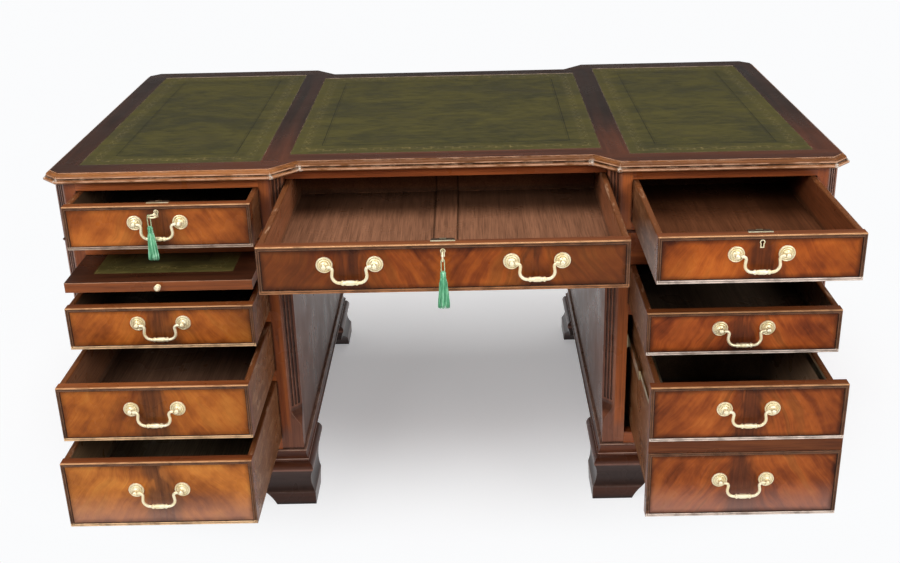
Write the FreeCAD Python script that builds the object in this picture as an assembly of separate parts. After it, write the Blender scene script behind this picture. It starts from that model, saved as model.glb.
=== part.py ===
import FreeCAD, Part
import math
import os
from FreeCAD import Vector

# Pedestal desk in millimetres: X to the right as seen from the front, +Y to the back, +Z up.
# The origin is on the floor, in the middle of the desk. Drawers stand pulled out as photographed.

# Top board: plan of the projecting bead, then its moulded edge
TOP_WIDTH = 1620.0
TOP_DEPTH = 896.0
TOP_THICKNESS = 20.0
TOP_CORNER_CANT = 32.0
TOP_OVERHANG = 19.0
CENTRE_SETBACK = 50.0
EDGE_INSET = 15.0
EDGE_BEAD = 3.6
EDGE_HOLLOW = 4.5
EDGE_HOLLOW_RISE = 0.6
EDGE_HOLLOW_HEIGHT = 1.8
EDGE_RIDGE = 6.0
EDGE_RIDGE_RISE = 2.0
EDGE_ARRIS = 1.5
EDGE_ARRIS_HEIGHT = 2.5
EDGE_STEPS = 4
LEATHER_BAND = 50.0
CENTRE_BAND = 44.0
LEATHER_GAP = 54.0
LEATHER_THICKNESS = 1.5

# Plan of the carcass
CORNER_CANT = 24.0
POST_WIDTH = 47.2
POST_DEPTH = 30.0
BOARD = 20.0
RAIL_DEPTH = 24.0
FLUTE_COUNT = 3
FLUTE_RADIUS = 2.8
FLUTE_PITCH = 8.5
TONGUE_LENGTH = 59.0
TONGUE_STEPS = 6
CORNER_BLOCK_HEIGHT = 45.0

# Heights, stacked from the floor upwards
FOOT_HEIGHT = 104.0
PLINTH_HEIGHT = 27.0
BASE_RAIL = 27.0
LOWER_DRAWER = 143.6
DRAWER_RAIL = 24.3
MIDDLE_DRAWER = 116.0
UPPER_DRAWER = 89.5
SLIDE_OPENING = 22.0
HEAD_RAIL = 24.0
WAIST_BOARD = 6.0
WAIST_PROJECTION = 3.0
FRIEZE_RAIL = 17.0
FRIEZE_DRAWER = 91.0
TOP_RAIL = 20.0

# Base
PLINTH_PROJECTION = 10.0
PLINTH_FILLET = 4.0
PLINTH_STEP = 2.0
PLINTH_QUIRK = 0.8
FOOT_PROJECTION = 20.0
FOOT_WAIST_PROJECTION = 11.0
FOOT_SHOULDER_PROJECTION = 18.0
FOOT_SHOULDER_DROP = 18.0
FOOT_PAD_HEIGHT = 31.0
FOOT_WING = 165.0
FOOT_PAD = 68.0
FOOT_CURVE_RISE = 60.0
FOOT_BOARD = 22.0
FOOT_BLOCK = 40.0
FOOT_BLOCK_LIFT = 4.0

# Drawers
DRAWER_WIDTH = 366.0
DRAWER_CLEARANCE = 0.8
DRAWER_LENGTH = 520.0
FRONT_THICKNESS = 20.0
SIDE_THICKNESS = 12.0
SIDE_DROP = 1.0
SIDE_ROUND = 3.0
BACK_THICKNESS = 12.0
BACK_DROP = 14.0
BOTTOM_THICKNESS = 6.0
BOTTOM_LIFT = 9.0
MUNTIN_WIDTH = 46.0
MUNTIN_RISE = 3.0
BEAD_WIDTH = 7.0
BEAD_BASE = 0.9
BEAD_RISE = 2.4
RUNNER_REACH = 15.0
GUIDE_HEIGHT = 12.0

# How far each drawer stands out
PULL_LEFT_TOP = 96.0
PULL_CENTRE = 383.0
PULL_RIGHT_TOP = 322.0
PULL_WRITING_SLIDE = 147.0
PULL_LEFT_UPPER = 165.0
PULL_LEFT_MIDDLE = 279.0
PULL_LEFT_LOWER = 320.0
PULL_RIGHT_UPPER = 240.0
PULL_FILE = 322.0

# Writing slide
SLIDE_LENGTH = 420.0
SLIDE_LEATHER_MARGIN = 45.0
KNOB_RADIUS = 6.5
KNOB_LENGTH = 14.0

# File drawer and its telescopic runners
FILE_SIDE_GAP = 14.0
FILE_BOTTOM_GAP = 8.0
FILE_TOP_GAP = 14.0
RUNNER_HEIGHT = 30.0
RUNNER_STEP = 5.0
RUNNER_BAR = 3.6
RUNNER_PLAY = 0.5
RUNNER_DROP = 76.0
HANGING_RAIL_WIDTH = 4.0
HANGING_RAIL_HEIGHT = 16.0

# Handles: two roses with a swan neck bail between their posts
HANDLE_CENTRES = 89.0
HANDLE_RISE = 10.0
ROSE_RADIUS = 15.0
ROSE_EDGE = 1.2
ROSE_RIM = 2.8
ROSE_RING = 3.4
ROSE_DOME = 4.2
ROSE_GROOVE = 1.4
POST_RADIUS = 3.4
POST_REACH = 13.0
BALL_RADIUS = 5.4
SHANK_RADIUS = 2.6
NUT_RADIUS = 6.0
NUT_THICKNESS = 4.0
HOLE_CLEARANCE = 0.3
BAIL_RADIUS = 2.9
BAIL_DROP = 30.0
BAIL_NECK = 28.5
BAIL_BELLY = 33.0
BAIL_NECK_BEND = 6.0
BAIL_BELLY_BEND = 14.0
GRIP_HALF = 18.0
GRIP_RADIUS = 4.7
GRIP_COLLAR_OFFSET = 12.5
GRIP_COLLAR_RADIUS = 4.8
GRIP_WAIST_OFFSET = 10.0
GRIP_WAIST_RADIUS = 3.9
PIN_RADIUS = 1.9
PIN_OVERRUN = 3.0

# Locks, keys and tassels
KEY_DROP = 13.0
KEY_SHAFT_RADIUS = 2.0
KEY_REACH = 18.0
KEY_BOW_RADIUS = 8.0
KEY_BOW_WIRE = 1.7
KEY_DEPTH_IN_LOCK = 5.4
KEY_BIT_LENGTH = 7.0
KEY_BIT_WIDTH = 3.0
KEY_BIT_THICKNESS = 1.6
KEY_TURN_LEFT_TOP = 90.0
KEY_TURN_CENTRE = 0.0
KEYHOLE_RADIUS = 3.0
KEYHOLE_SLOT = 3.4
KEYHOLE_LENGTH = 9.0
ESCUTCHEON_WALL = 1.7
ESCUTCHEON_DEPTH = 1.5
ESCUTCHEON_PROUD = 0.6
LOCK_WIDTH = 40.0
LOCK_DEPTH = 12.5
LOCK_BELOW_KEY = 22.0
LOCK_WALL = 1.6
BOLT_WIDTH = 12.0
BOLT_DEPTH = 4.0
BOLT_PLAY = 0.3
SELVEDGE_WIDTH = 44.0
SELVEDGE_THICKNESS = 1.2
SELVEDGE_SETBACK = 13.5
SELVEDGE_DEPTH = 10.5
CORD_RADIUS = 0.8
CORD_CLEARANCE = 0.4
CORD_LENGTH = 20.0
TASSEL_HEAD_RADIUS = 5.0
TASSEL_NECK_RADIUS = 3.4
TASSEL_TIE_RADIUS = 6.0
TASSEL_TIE_DROP = 7.0
TASSEL_SKIRT_RADIUS = 12.0
TASSEL_SKIRT_LENGTH = 62.0
TASSEL_FLATNESS = 0.58

# Levels and planes worked out from the sizes above
PLINTH_BASE = FOOT_HEIGHT
CASE_BASE = PLINTH_BASE + PLINTH_HEIGHT
LOWER = (CASE_BASE + BASE_RAIL, CASE_BASE + BASE_RAIL + LOWER_DRAWER)
MIDDLE = (LOWER[1] + DRAWER_RAIL, LOWER[1] + DRAWER_RAIL + MIDDLE_DRAWER)
UPPER = (MIDDLE[1] + DRAWER_RAIL, MIDDLE[1] + DRAWER_RAIL + UPPER_DRAWER)
SLIDE = (UPPER[1] + DRAWER_RAIL, UPPER[1] + DRAWER_RAIL + SLIDE_OPENING)
WAIST_BASE = SLIDE[1] + HEAD_RAIL
FRIEZE_BASE = WAIST_BASE + WAIST_BOARD
FRIEZE = (FRIEZE_BASE + FRIEZE_RAIL, FRIEZE_BASE + FRIEZE_RAIL + FRIEZE_DRAWER)
TOP_BASE = FRIEZE[1] + TOP_RAIL
DESK_HEIGHT = TOP_BASE + TOP_THICKNESS

CASE_X = TOP_WIDTH / 2 - TOP_OVERHANG
CASE_Y = TOP_DEPTH / 2 - TOP_OVERHANG
CENTRE_Y = CASE_Y - CENTRE_SETBACK
OPENING_HALF = DRAWER_WIDTH / 2 + DRAWER_CLEARANCE
PEDESTAL_X = CASE_X - POST_WIDTH - OPENING_HALF
KNEE_X = PEDESTAL_X - OPENING_HALF - POST_WIDTH
CENTRE_HANDLE_X = KNEE_X / 2
PANEL_Y = CASE_Y - POST_DEPTH
RUNNER_LENGTH = DRAWER_LENGTH - POST_DEPTH
FRONT, BACK = -1, 1
LEFT, RIGHT = -1, 1


def box(x_range, y_range, z_range):
    """A board given by its two ends along each axis, in either order."""
    low = [min(r) for r in (x_range, y_range, z_range)]
    size = [abs(r[1] - r[0]) for r in (x_range, y_range, z_range)]
    return Part.makeBox(*size, Vector(*low))


def polygon(points):
    return Part.makePolygon(points + points[:1])


def prism(outline, z_low, z_high):
    face = Part.Face(polygon([Vector(x, y, z_low) for x, y in outline]))
    return face.extrude(Vector(0, 0, z_high - z_low))


def grown(outline, distance):
    """The plan outline, drawn anticlockwise, with every edge moved outwards by a distance."""
    result = []
    count = len(outline)
    for i in range(count):
        lines = []
        for a, b in ((outline[i - 1], outline[i]), (outline[i], outline[(i + 1) % count])):
            length = math.dist(a, b)
            nx = (b[1] - a[1]) / length
            ny = (a[0] - b[0]) / length
            lines.append((nx, ny, nx * a[0] + ny * a[1] + distance))
        (a1, b1, c1), (a2, b2, c2) = lines
        det = a1 * b2 - a2 * b1
        result.append(((c1 * b2 - c2 * b1) / det, (a1 * c2 - a2 * c1) / det))
    return result


def moulded_slab(outline, levels):
    """A slab whose edge runs through (growth, height) levels, with mitred corners."""
    wires = [polygon([Vector(x, y, z) for x, y in grown(outline, growth)]) for growth, z in levels]
    return Part.makeLoft(wires, True, True)


def arc_levels(start, end, bulge, steps):
    """Levels after start along a quarter of an ellipse: bulge 1 leaves start upright, 0 leaves it level."""
    (g0, z0), (g1, z1) = start, end
    levels = []
    for i in range(1, steps + 1):
        angle = math.pi / 2 * i / steps
        along = (math.sin(angle), 1 - math.cos(angle))
        across = along if bulge else along[::-1]
        levels.append((g0 + (g1 - g0) * across[1], z0 + (z1 - z0) * across[0]))
    return levels


def placed(shape, x, y, x_side, y_side):
    """A corner piece drawn in the positive quarter, turned to point inwards and moved to its corner."""
    origin = Vector(0, 0, 0)
    if x_side > 0:
        shape = shape.mirror(origin, Vector(1, 0, 0))
    if y_side > 0:
        shape = shape.mirror(origin, Vector(0, 1, 0))
    return shape.translated(Vector(x, y, 0))


def cylinder(radius, start, end):
    axis = end - start
    return Part.makeCylinder(radius, axis.Length, start, axis)


def export(name, solids):
    """One file for each node: its solids stay separate pieces."""
    solids = [solid for shape in solids for solid in shape.Solids]
    shape = solids[0] if len(solids) == 1 else Part.makeCompound(solids)
    shape.exportStep("parts/" + name + ".step")


# Top board and leathers

def top_outline():
    half_x = TOP_WIDTH / 2
    half_y = TOP_DEPTH / 2
    inner_x = half_y - (CASE_Y - CORNER_CANT - KNEE_X) - TOP_OVERHANG * math.sqrt(2)
    quarter = [(half_x, half_y - TOP_CORNER_CANT), (half_x - TOP_CORNER_CANT, half_y),
               (inner_x, half_y), (inner_x - CENTRE_SETBACK, half_y - CENTRE_SETBACK)]
    right = quarter + [(-x, y) for x, y in reversed(quarter)]
    return right + [(-x, -y) for x, y in right]


def top_levels():
    """Edge from below: half round bead, hollow, ridge, cove and a small rounded arris at the top."""
    levels = [(-EDGE_BEAD, TOP_BASE)]
    levels += arc_levels(levels[-1], (0, TOP_BASE + EDGE_BEAD), 0, EDGE_STEPS)
    levels += arc_levels(levels[-1], (-EDGE_BEAD, TOP_BASE + 2 * EDGE_BEAD), 1, EDGE_STEPS)
    hollow_base = levels[-1][1] + EDGE_HOLLOW_RISE
    hollow_top = hollow_base + EDGE_HOLLOW_HEIGHT
    levels += [(-EDGE_HOLLOW, hollow_base), (-EDGE_HOLLOW, hollow_top)]
    levels.append((-EDGE_RIDGE, hollow_top + EDGE_RIDGE_RISE))
    arris = (EDGE_ARRIS - EDGE_INSET, DESK_HEIGHT - EDGE_ARRIS_HEIGHT)
    levels += arc_levels(levels[-1], arris, 1, EDGE_STEPS)
    levels += arc_levels(levels[-1], (-EDGE_INSET, DESK_HEIGHT), 1, EDGE_STEPS)
    return levels


def leather_areas():
    """X and Y ranges of the left, centre and right leathers."""
    edge = EDGE_INSET + LEATHER_BAND
    wing_y = TOP_DEPTH / 2 - edge
    centre_y = TOP_DEPTH / 2 - CENTRE_SETBACK - EDGE_INSET - CENTRE_BAND
    outer = TOP_WIDTH / 2 - edge
    inner = PEDESTAL_X - (outer - PEDESTAL_X)
    centre_x = inner - LEATHER_GAP
    return [((-outer, -inner), (-wing_y, wing_y)), ((-centre_x, centre_x), (-centre_y, centre_y)),
            ((inner, outer), (-wing_y, wing_y))]


def make_top():
    board = moulded_slab(top_outline(), top_levels())
    level = (DESK_HEIGHT - LEATHER_THICKNESS, DESK_HEIGHT)
    leathers = [box(x, y, level) for x, y in leather_areas()]
    for leather in leathers:
        board = board.cut(leather)
    export("desk_top", [board])
    export("top_leathers", leathers)


# Fluted corner posts

def flutes(low, high, stopped):
    """Round grooves side by side on the canted corner of a post drawn in the positive quarter."""
    cutters = []
    for i in range(FLUTE_COUNT):
        along = (i - (FLUTE_COUNT - 1) / 2) * FLUTE_PITCH / math.sqrt(2)
        foot = Vector(CORNER_CANT / 2 + along, CORNER_CANT / 2 - along, low)
        cutters.append(cylinder(FLUTE_RADIUS, foot, Vector(foot.x, foot.y, high)))
        if stopped:
            cutters.append(Part.makeSphere(FLUTE_RADIUS, foot))
    return cutters


def corner_triangle(size, z):
    return polygon([Vector(-1, -1, z), Vector(size + 1, -1, z), Vector(-1, size + 1, z)])


def frieze_post():
    outline = [(CORNER_CANT, 0), (POST_WIDTH, 0), (POST_WIDTH, POST_DEPTH), (0, POST_DEPTH),
               (0, CORNER_CANT)]
    post = prism(outline, FRIEZE_BASE, TOP_BASE)
    return post.cut(Part.makeCompound(flutes(FRIEZE_BASE, TOP_BASE, False)))


def pedestal_post():
    """Square at the foot, then a lamb's tongue that runs out into the fluted cant."""
    post = box((0, POST_WIDTH), (0, POST_DEPTH), (CASE_BASE, WAIST_BASE))
    tongue_base = CASE_BASE + CORNER_BLOCK_HEIGHT
    cant_base = tongue_base + TONGUE_LENGTH
    tongue = []
    for i in range(TONGUE_STEPS + 1):
        share = i / TONGUE_STEPS
        size = (CORNER_CANT + 1) * (1 - math.cos(math.pi * share)) / 2 - 1
        tongue.append(corner_triangle(size, tongue_base + TONGUE_LENGTH * share))
    cant = Part.Face(corner_triangle(CORNER_CANT, cant_base)).extrude(Vector(0, 0, WAIST_BASE - cant_base))
    post = post.cut(Part.makeLoft(tongue, True, True)).cut(cant)
    return post.cut(Part.makeCompound(flutes(cant_base + FLUTE_RADIUS, WAIST_BASE, True)))


def make_posts():
    posts = []
    for pattern in (frieze_post(), pedestal_post()):
        for side in (LEFT, RIGHT):
            for y_side in (FRONT, BACK):
                posts.append(placed(pattern, side * CASE_X, y_side * CASE_Y, side, y_side))
                posts.append(placed(pattern, side * KNEE_X, y_side * CASE_Y, -side, y_side))
    export("fluted_posts", posts)


# Carcass boards

def across_opening(side):
    """X range between the posts of one pedestal."""
    return (side * PEDESTAL_X - OPENING_HALF, side * PEDESTAL_X + OPENING_HALF)


def beaded_panel(x_range, y_face, y_side, z_range):
    """A back panel with a cock bead let in round it."""
    inner = y_face - y_side * BOARD
    return [box(x_range, (y_face, inner), z_range)] + bead_frame(x_range, z_range, y_face, y_side)


def make_frieze_case():
    height = (FRIEZE_BASE, TOP_BASE)
    boards = []
    for side in (LEFT, RIGHT):
        boards.append(box((side * CASE_X, side * (CASE_X - BOARD)), (-PANEL_Y, PANEL_Y), height))
        boards.append(box((side * KNEE_X, side * (KNEE_X + BOARD)), (-PANEL_Y, PANEL_Y), height))
        boards += beaded_panel(across_opening(side), CASE_Y, BACK, height)
    boards += beaded_panel((-KNEE_X, KNEE_X), CENTRE_Y, BACK, height)
    export("frieze_case", boards)


def make_pedestal_panels():
    height = (CASE_BASE, WAIST_BASE)
    boards = []
    for side in (LEFT, RIGHT):
        boards.append(box((side * CASE_X, side * (CASE_X - BOARD)), (-PANEL_Y, PANEL_Y), height))
        boards.append(box((side * KNEE_X, side * (KNEE_X + BOARD)), (-PANEL_Y, PANEL_Y), height))
        boards += beaded_panel(across_opening(side), CASE_Y, BACK, height)
    export("pedestal_panels", boards)


def rail_levels(side):
    """Heights of the front rails of a pedestal, from the floor up."""
    levels = [(CASE_BASE, LOWER[0]), (MIDDLE[1], UPPER[0])]
    if side == LEFT:
        levels += [(LOWER[1], MIDDLE[0]), (UPPER[1], SLIDE[0]), (SLIDE[1], WAIST_BASE)]
    else:
        levels.append((UPPER[1], WAIST_BASE))
    return levels


def make_rails():
    case_depth = (-CASE_Y, RAIL_DEPTH - CASE_Y)
    centre_depth = (-CENTRE_Y, RAIL_DEPTH - CENTRE_Y)
    frieze_levels = [(FRIEZE_BASE, FRIEZE[0]), (FRIEZE[1], TOP_BASE)]
    rails = []
    for level in frieze_levels:
        rails.append(box((-KNEE_X, KNEE_X), centre_depth, level))
    for side in (LEFT, RIGHT):
        for level in frieze_levels + rail_levels(side):
            rails.append(box(across_opening(side), case_depth, level))
    export("front_rails", rails)


def runner_pair(side, level, guided):
    """Runners let in behind a rail, with a guide on each to keep the drawer straight."""
    y_range = (RAIL_DEPTH - CASE_Y, DRAWER_LENGTH - CASE_Y)
    beside_post = (POST_DEPTH - CASE_Y, DRAWER_LENGTH - CASE_Y)
    pieces = []
    for edge in (LEFT, RIGHT):
        wall = side * PEDESTAL_X + edge * (CASE_X - PEDESTAL_X - BOARD)
        opening = side * PEDESTAL_X + edge * OPENING_HALF
        pieces.append(box((opening, opening - edge * RUNNER_REACH), y_range, level))
        pieces.append(box((wall, opening), beside_post, level))
        if guided:
            pieces.append(box((wall, opening), beside_post, (level[1], level[1] + GUIDE_HEIGHT)))
    return pieces


def make_runners():
    pieces = []
    frieze_level = (FRIEZE_BASE, FRIEZE[0])
    for side in (LEFT, RIGHT):
        pieces += runner_pair(side, frieze_level, True)
        for level in rail_levels(side):
            if level[1] == WAIST_BASE or (side == RIGHT and level[0] == CASE_BASE):
                continue
            pieces += runner_pair(side, level, level[1] != SLIDE[0])
        y_range = (RAIL_DEPTH - CENTRE_Y, DRAWER_LENGTH - CENTRE_Y)
        pieces.append(box((side * KNEE_X, side * (KNEE_X - RUNNER_REACH)), y_range, frieze_level))
    for edge in (LEFT, RIGHT):
        wall = PEDESTAL_X + edge * (CASE_X - PEDESTAL_X - BOARD)
        block = (RUNNER_HEIGHT + RUNNER_STEP) / 2
        pieces.append(box((wall, PEDESTAL_X + edge * runner_offset(0)),
                          (POST_DEPTH - CASE_Y, POST_DEPTH + RUNNER_LENGTH - CASE_Y),
                          (file_runner_z() - block, file_runner_z() + block)))
    export("drawer_runners", pieces)


def pedestal_outline(side):
    x_low, x_high = sorted((side * KNEE_X, side * CASE_X))
    return [(x_low, -CASE_Y), (x_high, -CASE_Y), (x_high, CASE_Y), (x_low, CASE_Y)]


def canted_outline(side):
    corners = pedestal_outline(side)
    middle_x = side * PEDESTAL_X
    points = []
    for x, y in corners:
        along = (x - math.copysign(CORNER_CANT, x - middle_x), y)
        up = (x, y - math.copysign(CORNER_CANT, y))
        points += [up, along] if (x - middle_x) * y > 0 else [along, up]
    return points


def make_pedestal_tops():
    """Thin boards between frieze and pedestals, with a rounded edge that stands a little proud."""
    half = WAIST_BOARD / 2
    levels = [(0, WAIST_BASE)]
    levels += arc_levels(levels[-1], (WAIST_PROJECTION, WAIST_BASE + half), 0, 3)
    levels += arc_levels(levels[-1], (0, FRIEZE_BASE), 1, 3)
    export("pedestal_tops", [moulded_slab(canted_outline(side), levels) for side in (LEFT, RIGHT)])


def make_plinths():
    """Base boards with a stepped and hollowed edge."""
    lower = PLINTH_PROJECTION
    foot = lower - PLINTH_STEP
    upper = PLINTH_PROJECTION / 3
    bead = upper + PLINTH_STEP
    fillet_top = PLINTH_BASE + PLINTH_FILLET
    bead_base = CASE_BASE - PLINTH_FILLET
    levels = [(foot, PLINTH_BASE), (foot, fillet_top), (lower, fillet_top + PLINTH_QUIRK),
              (lower, fillet_top + PLINTH_FILLET)]
    levels += arc_levels(levels[-1], (upper, bead_base - PLINTH_QUIRK), 0, EDGE_STEPS)
    levels += [(bead, bead_base), (bead, CASE_BASE - PLINTH_QUIRK), (bead - PLINTH_QUIRK, CASE_BASE)]
    export("plinths", [moulded_slab(pedestal_outline(side), levels) for side in (LEFT, RIGHT)])


# Bracket feet

def foot_section():
    """Section of a foot board: rounded shoulder, hollow neck and a square pad."""
    def at(out, z):
        return Vector(0, -out, z)
    shoulder = FOOT_HEIGHT - FOOT_SHOULDER_DROP
    neck = (FOOT_PAD_HEIGHT + shoulder) / 2
    top_out = PLINTH_PROJECTION - PLINTH_STEP
    round_out = top_out + (FOOT_SHOULDER_PROJECTION - top_out) * 0.75
    round_mid = at(round_out, FOOT_HEIGHT - FOOT_SHOULDER_DROP * 0.35)
    edges = [Part.Arc(at(top_out, FOOT_HEIGHT), round_mid, at(FOOT_SHOULDER_PROJECTION, shoulder)),
             Part.Arc(at(FOOT_SHOULDER_PROJECTION, shoulder), at(FOOT_WAIST_PROJECTION, neck),
                      at(FOOT_PROJECTION, FOOT_PAD_HEIGHT)),
             Part.LineSegment(at(FOOT_PROJECTION, FOOT_PAD_HEIGHT), at(FOOT_PROJECTION, 0)),
             Part.LineSegment(at(FOOT_PROJECTION, 0), at(-FOOT_BOARD, 0)),
             Part.LineSegment(at(-FOOT_BOARD, 0), at(-FOOT_BOARD, FOOT_HEIGHT)),
             Part.LineSegment(at(-FOOT_BOARD, FOOT_HEIGHT), at(top_out, FOOT_HEIGHT))]
    return Part.Face(Part.Wire([edge.toShape() for edge in edges]))


def foot_wing():
    """One board of a foot, running along +X from a mitre at the corner to a curved bracket end."""
    reach = FOOT_PROJECTION + FOOT_BOARD
    section = foot_section().translated(Vector(-FOOT_PROJECTION, 0, 0))
    wing = section.extrude(Vector(FOOT_WING + FOOT_PROJECTION, 0, 0))
    mitre = [(-reach, -reach), (reach, reach), (-reach, reach)]
    wing = wing.cut(prism(mitre, -1, FOOT_HEIGHT + 1))
    rise = FOOT_CURVE_RISE
    bend = Vector(FOOT_PAD + (FOOT_WING - FOOT_PAD) * 0.38, -reach, rise * 0.72)
    start = Vector(FOOT_PAD, -reach, 0)
    end = Vector(FOOT_WING, -reach, rise)
    past_end = Vector(FOOT_WING + 1, -reach, rise)
    below_end = Vector(FOOT_WING + 1, -reach, -1)
    below_start = Vector(FOOT_PAD, -reach, -1)
    edges = [Part.Arc(start, bend, end).toShape(), Part.makeLine(end, past_end),
             Part.makeLine(past_end, below_end), Part.makeLine(below_end, below_start),
             Part.makeLine(below_start, start)]
    bracket = Part.Face(Part.Wire(edges)).extrude(Vector(0, 2 * reach, 0))
    return wing.cut(bracket)


def make_feet():
    wing = foot_wing()
    other = wing.mirror(Vector(0, 0, 0), Vector(1, -1, 0))
    inside = (FOOT_BOARD, FOOT_BOARD + FOOT_BLOCK)
    block = box(inside, inside, (FOOT_BLOCK_LIFT, FOOT_HEIGHT))
    pieces = []
    for side in (LEFT, RIGHT):
        for y_side in (FRONT, BACK):
            for piece in (wing, other, block):
                pieces.append(placed(piece, side * CASE_X, y_side * CASE_Y, side, y_side))
                pieces.append(placed(piece, side * KNEE_X, y_side * CASE_Y, -side, y_side))
    export("bracket_feet", pieces)


# Drawers

def bead_section(low, y_face, y_side):
    """Section of a twin reeded bead on a face, from its outer edge at a low corner upwards."""
    def at(up, out):
        return Vector(0, y_face + y_side * out, low + up)
    half = BEAD_WIDTH / 2
    edges = [Part.LineSegment(at(0, 0), at(0, BEAD_BASE)),
             Part.Arc(at(0, BEAD_BASE), at(half / 2, BEAD_RISE), at(half, BEAD_BASE)),
             Part.Arc(at(half, BEAD_BASE), at(half * 1.5, BEAD_RISE), at(BEAD_WIDTH, BEAD_BASE)),
             Part.LineSegment(at(BEAD_WIDTH, BEAD_BASE), at(BEAD_WIDTH, 0)),
             Part.LineSegment(at(BEAD_WIDTH, 0), at(0, 0))]
    return Part.Face(Part.Wire([edge.toShape() for edge in edges]))


def bead_frame(x_range, z_range, y_face, y_side):
    """Four mitred beads round a field on a flat face."""
    centre = Vector(sum(x_range) / 2, y_face, sum(z_range) / 2)
    pieces = []
    for turn in range(4):
        spans = (abs(x_range[1] - x_range[0]) / 2, abs(z_range[1] - z_range[0]) / 2)
        half, drop = spans if turn % 2 == 0 else spans[::-1]
        section = bead_section(-drop, 0, y_side).translated(Vector(-half, 0, 0))
        strip = section.extrude(Vector(2 * half, 0, 0))
        corners = [Vector(-half, 0, -drop), Vector(half, 0, -drop),
                   Vector(half - BEAD_WIDTH, 0, BEAD_WIDTH - drop),
                   Vector(BEAD_WIDTH - half, 0, BEAD_WIDTH - drop)]
        mitred = Part.Face(polygon(corners)).extrude(Vector(0, y_side * 2 * BEAD_RISE, 0))
        strip = strip.common(mitred)
        strip.rotate(Vector(0, 0, 0), Vector(0, 1, 0), 90 * turn)
        pieces.append(strip.translated(centre))
    return pieces


class Drawer:
    """Where one drawer stands: its front face, its width and its opening."""

    def __init__(self, name, centre_x, half_width, opening, face_y, pull, handles):
        self.name = name
        self.x = centre_x
        self.half = half_width
        self.low = opening[0] + DRAWER_CLEARANCE
        self.high = opening[1] - DRAWER_CLEARANCE
        self.face = face_y - pull
        self.inside = self.face + FRONT_THICKNESS
        self.tail = self.face + DRAWER_LENGTH
        self.handles = handles
        self.key_z = self.high - KEY_DROP
        self.key_turn = KEY_TURN_LEFT_TOP if name == "left_top" else KEY_TURN_CENTRE

    def span(self, margin=0.0):
        return (self.x - self.half + margin, self.x + self.half - margin)


def fields(drawer):
    """Heights of the beaded fields on a drawer front: the file drawer has two."""
    if drawer.name == "file":
        return [(drawer.low, LOWER[1] - DRAWER_CLEARANCE), (MIDDLE[0] + DRAWER_CLEARANCE, drawer.high)]
    return [(drawer.low, drawer.high)]


def keyhole(x, z, y_range, radius, slot):
    """A keyhole shape cut through a depth: round at the top, a slot below."""
    start, end = min(y_range), max(y_range)
    circle = cylinder(radius, Vector(x, start, z), Vector(x, end, z))
    foot = z - KEYHOLE_LENGTH - radius + KEYHOLE_RADIUS
    return circle.fuse(box((x - slot / 2, x + slot / 2), (start, end), (foot, z)))


def make_front(drawer, locked):
    board = box(drawer.span(), (drawer.face, drawer.inside), (drawer.low, drawer.high))
    for x, z in drawer.handles:
        for edge in (LEFT, RIGHT):
            post_x = x + edge * HANDLE_CENTRES / 2
            board = board.cut(cylinder(SHANK_RADIUS + HOLE_CLEARANCE, Vector(post_x, drawer.face - 1, z),
                                       Vector(post_x, drawer.inside + 1, z)))
    if locked:
        plate = KEYHOLE_RADIUS + ESCUTCHEON_WALL
        slot = KEYHOLE_SLOT + 2 * ESCUTCHEON_WALL
        recess = (drawer.face - 1, drawer.face + ESCUTCHEON_DEPTH)
        through = (drawer.face, drawer.inside + 1)
        board = board.cut(keyhole(drawer.x, drawer.key_z, recess, plate, slot))
        board = board.cut(keyhole(drawer.x, drawer.key_z, through, KEYHOLE_RADIUS, KEYHOLE_SLOT))
        half = SELVEDGE_WIDTH / 2
        rebate = (drawer.face + SELVEDGE_SETBACK, drawer.inside + 1)
        board = board.cut(box((drawer.x - half, drawer.x + half), rebate,
                              (drawer.high - SELVEDGE_THICKNESS, drawer.high + 1)))
    pieces = [board]
    for field in fields(drawer):
        pieces += bead_frame(drawer.span(), field, drawer.face, FRONT)
    export(drawer.name + "_drawer_front", pieces)


def make_box(drawer, side_gap, low_gap, top_gap, muntin):
    """Sides with rounded top edges, a back that stands on the bottom, and the bottom boards."""
    low = drawer.low + low_gap
    high = drawer.high - top_gap
    floor = low + BOTTOM_LIFT
    outer = drawer.span(side_gap)
    inner = drawer.span(side_gap + SIDE_THICKNESS)
    pieces = []
    for edge in (0, 1):
        side = box((outer[edge], inner[edge]), (drawer.inside, drawer.tail), (low, high))
        rims = [e for e in side.Edges if abs(e.BoundBox.ZMin - high) < 1e-6 and e.BoundBox.YLength > 1]
        pieces.append(side.makeFillet(SIDE_ROUND, rims))
    board_top = floor + BOTTOM_THICKNESS
    pieces.append(box(inner, (drawer.tail - BACK_THICKNESS, drawer.tail), (board_top, high - BACK_DROP)))
    bottom_y = (drawer.inside, drawer.tail)
    if muntin:
        half = MUNTIN_WIDTH / 2
        pieces.append(box((drawer.x - half, drawer.x + half), (drawer.inside, drawer.tail - BACK_THICKNESS),
                          (board_top, board_top + MUNTIN_RISE)))
        pieces.append(box((inner[0], drawer.x), bottom_y, (floor, board_top)))
        pieces.append(box((drawer.x, inner[1]), bottom_y, (floor, board_top)))
    else:
        pieces.append(box(inner, bottom_y, (floor, board_top)))
    export(drawer.name + "_drawer_box", pieces)


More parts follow.
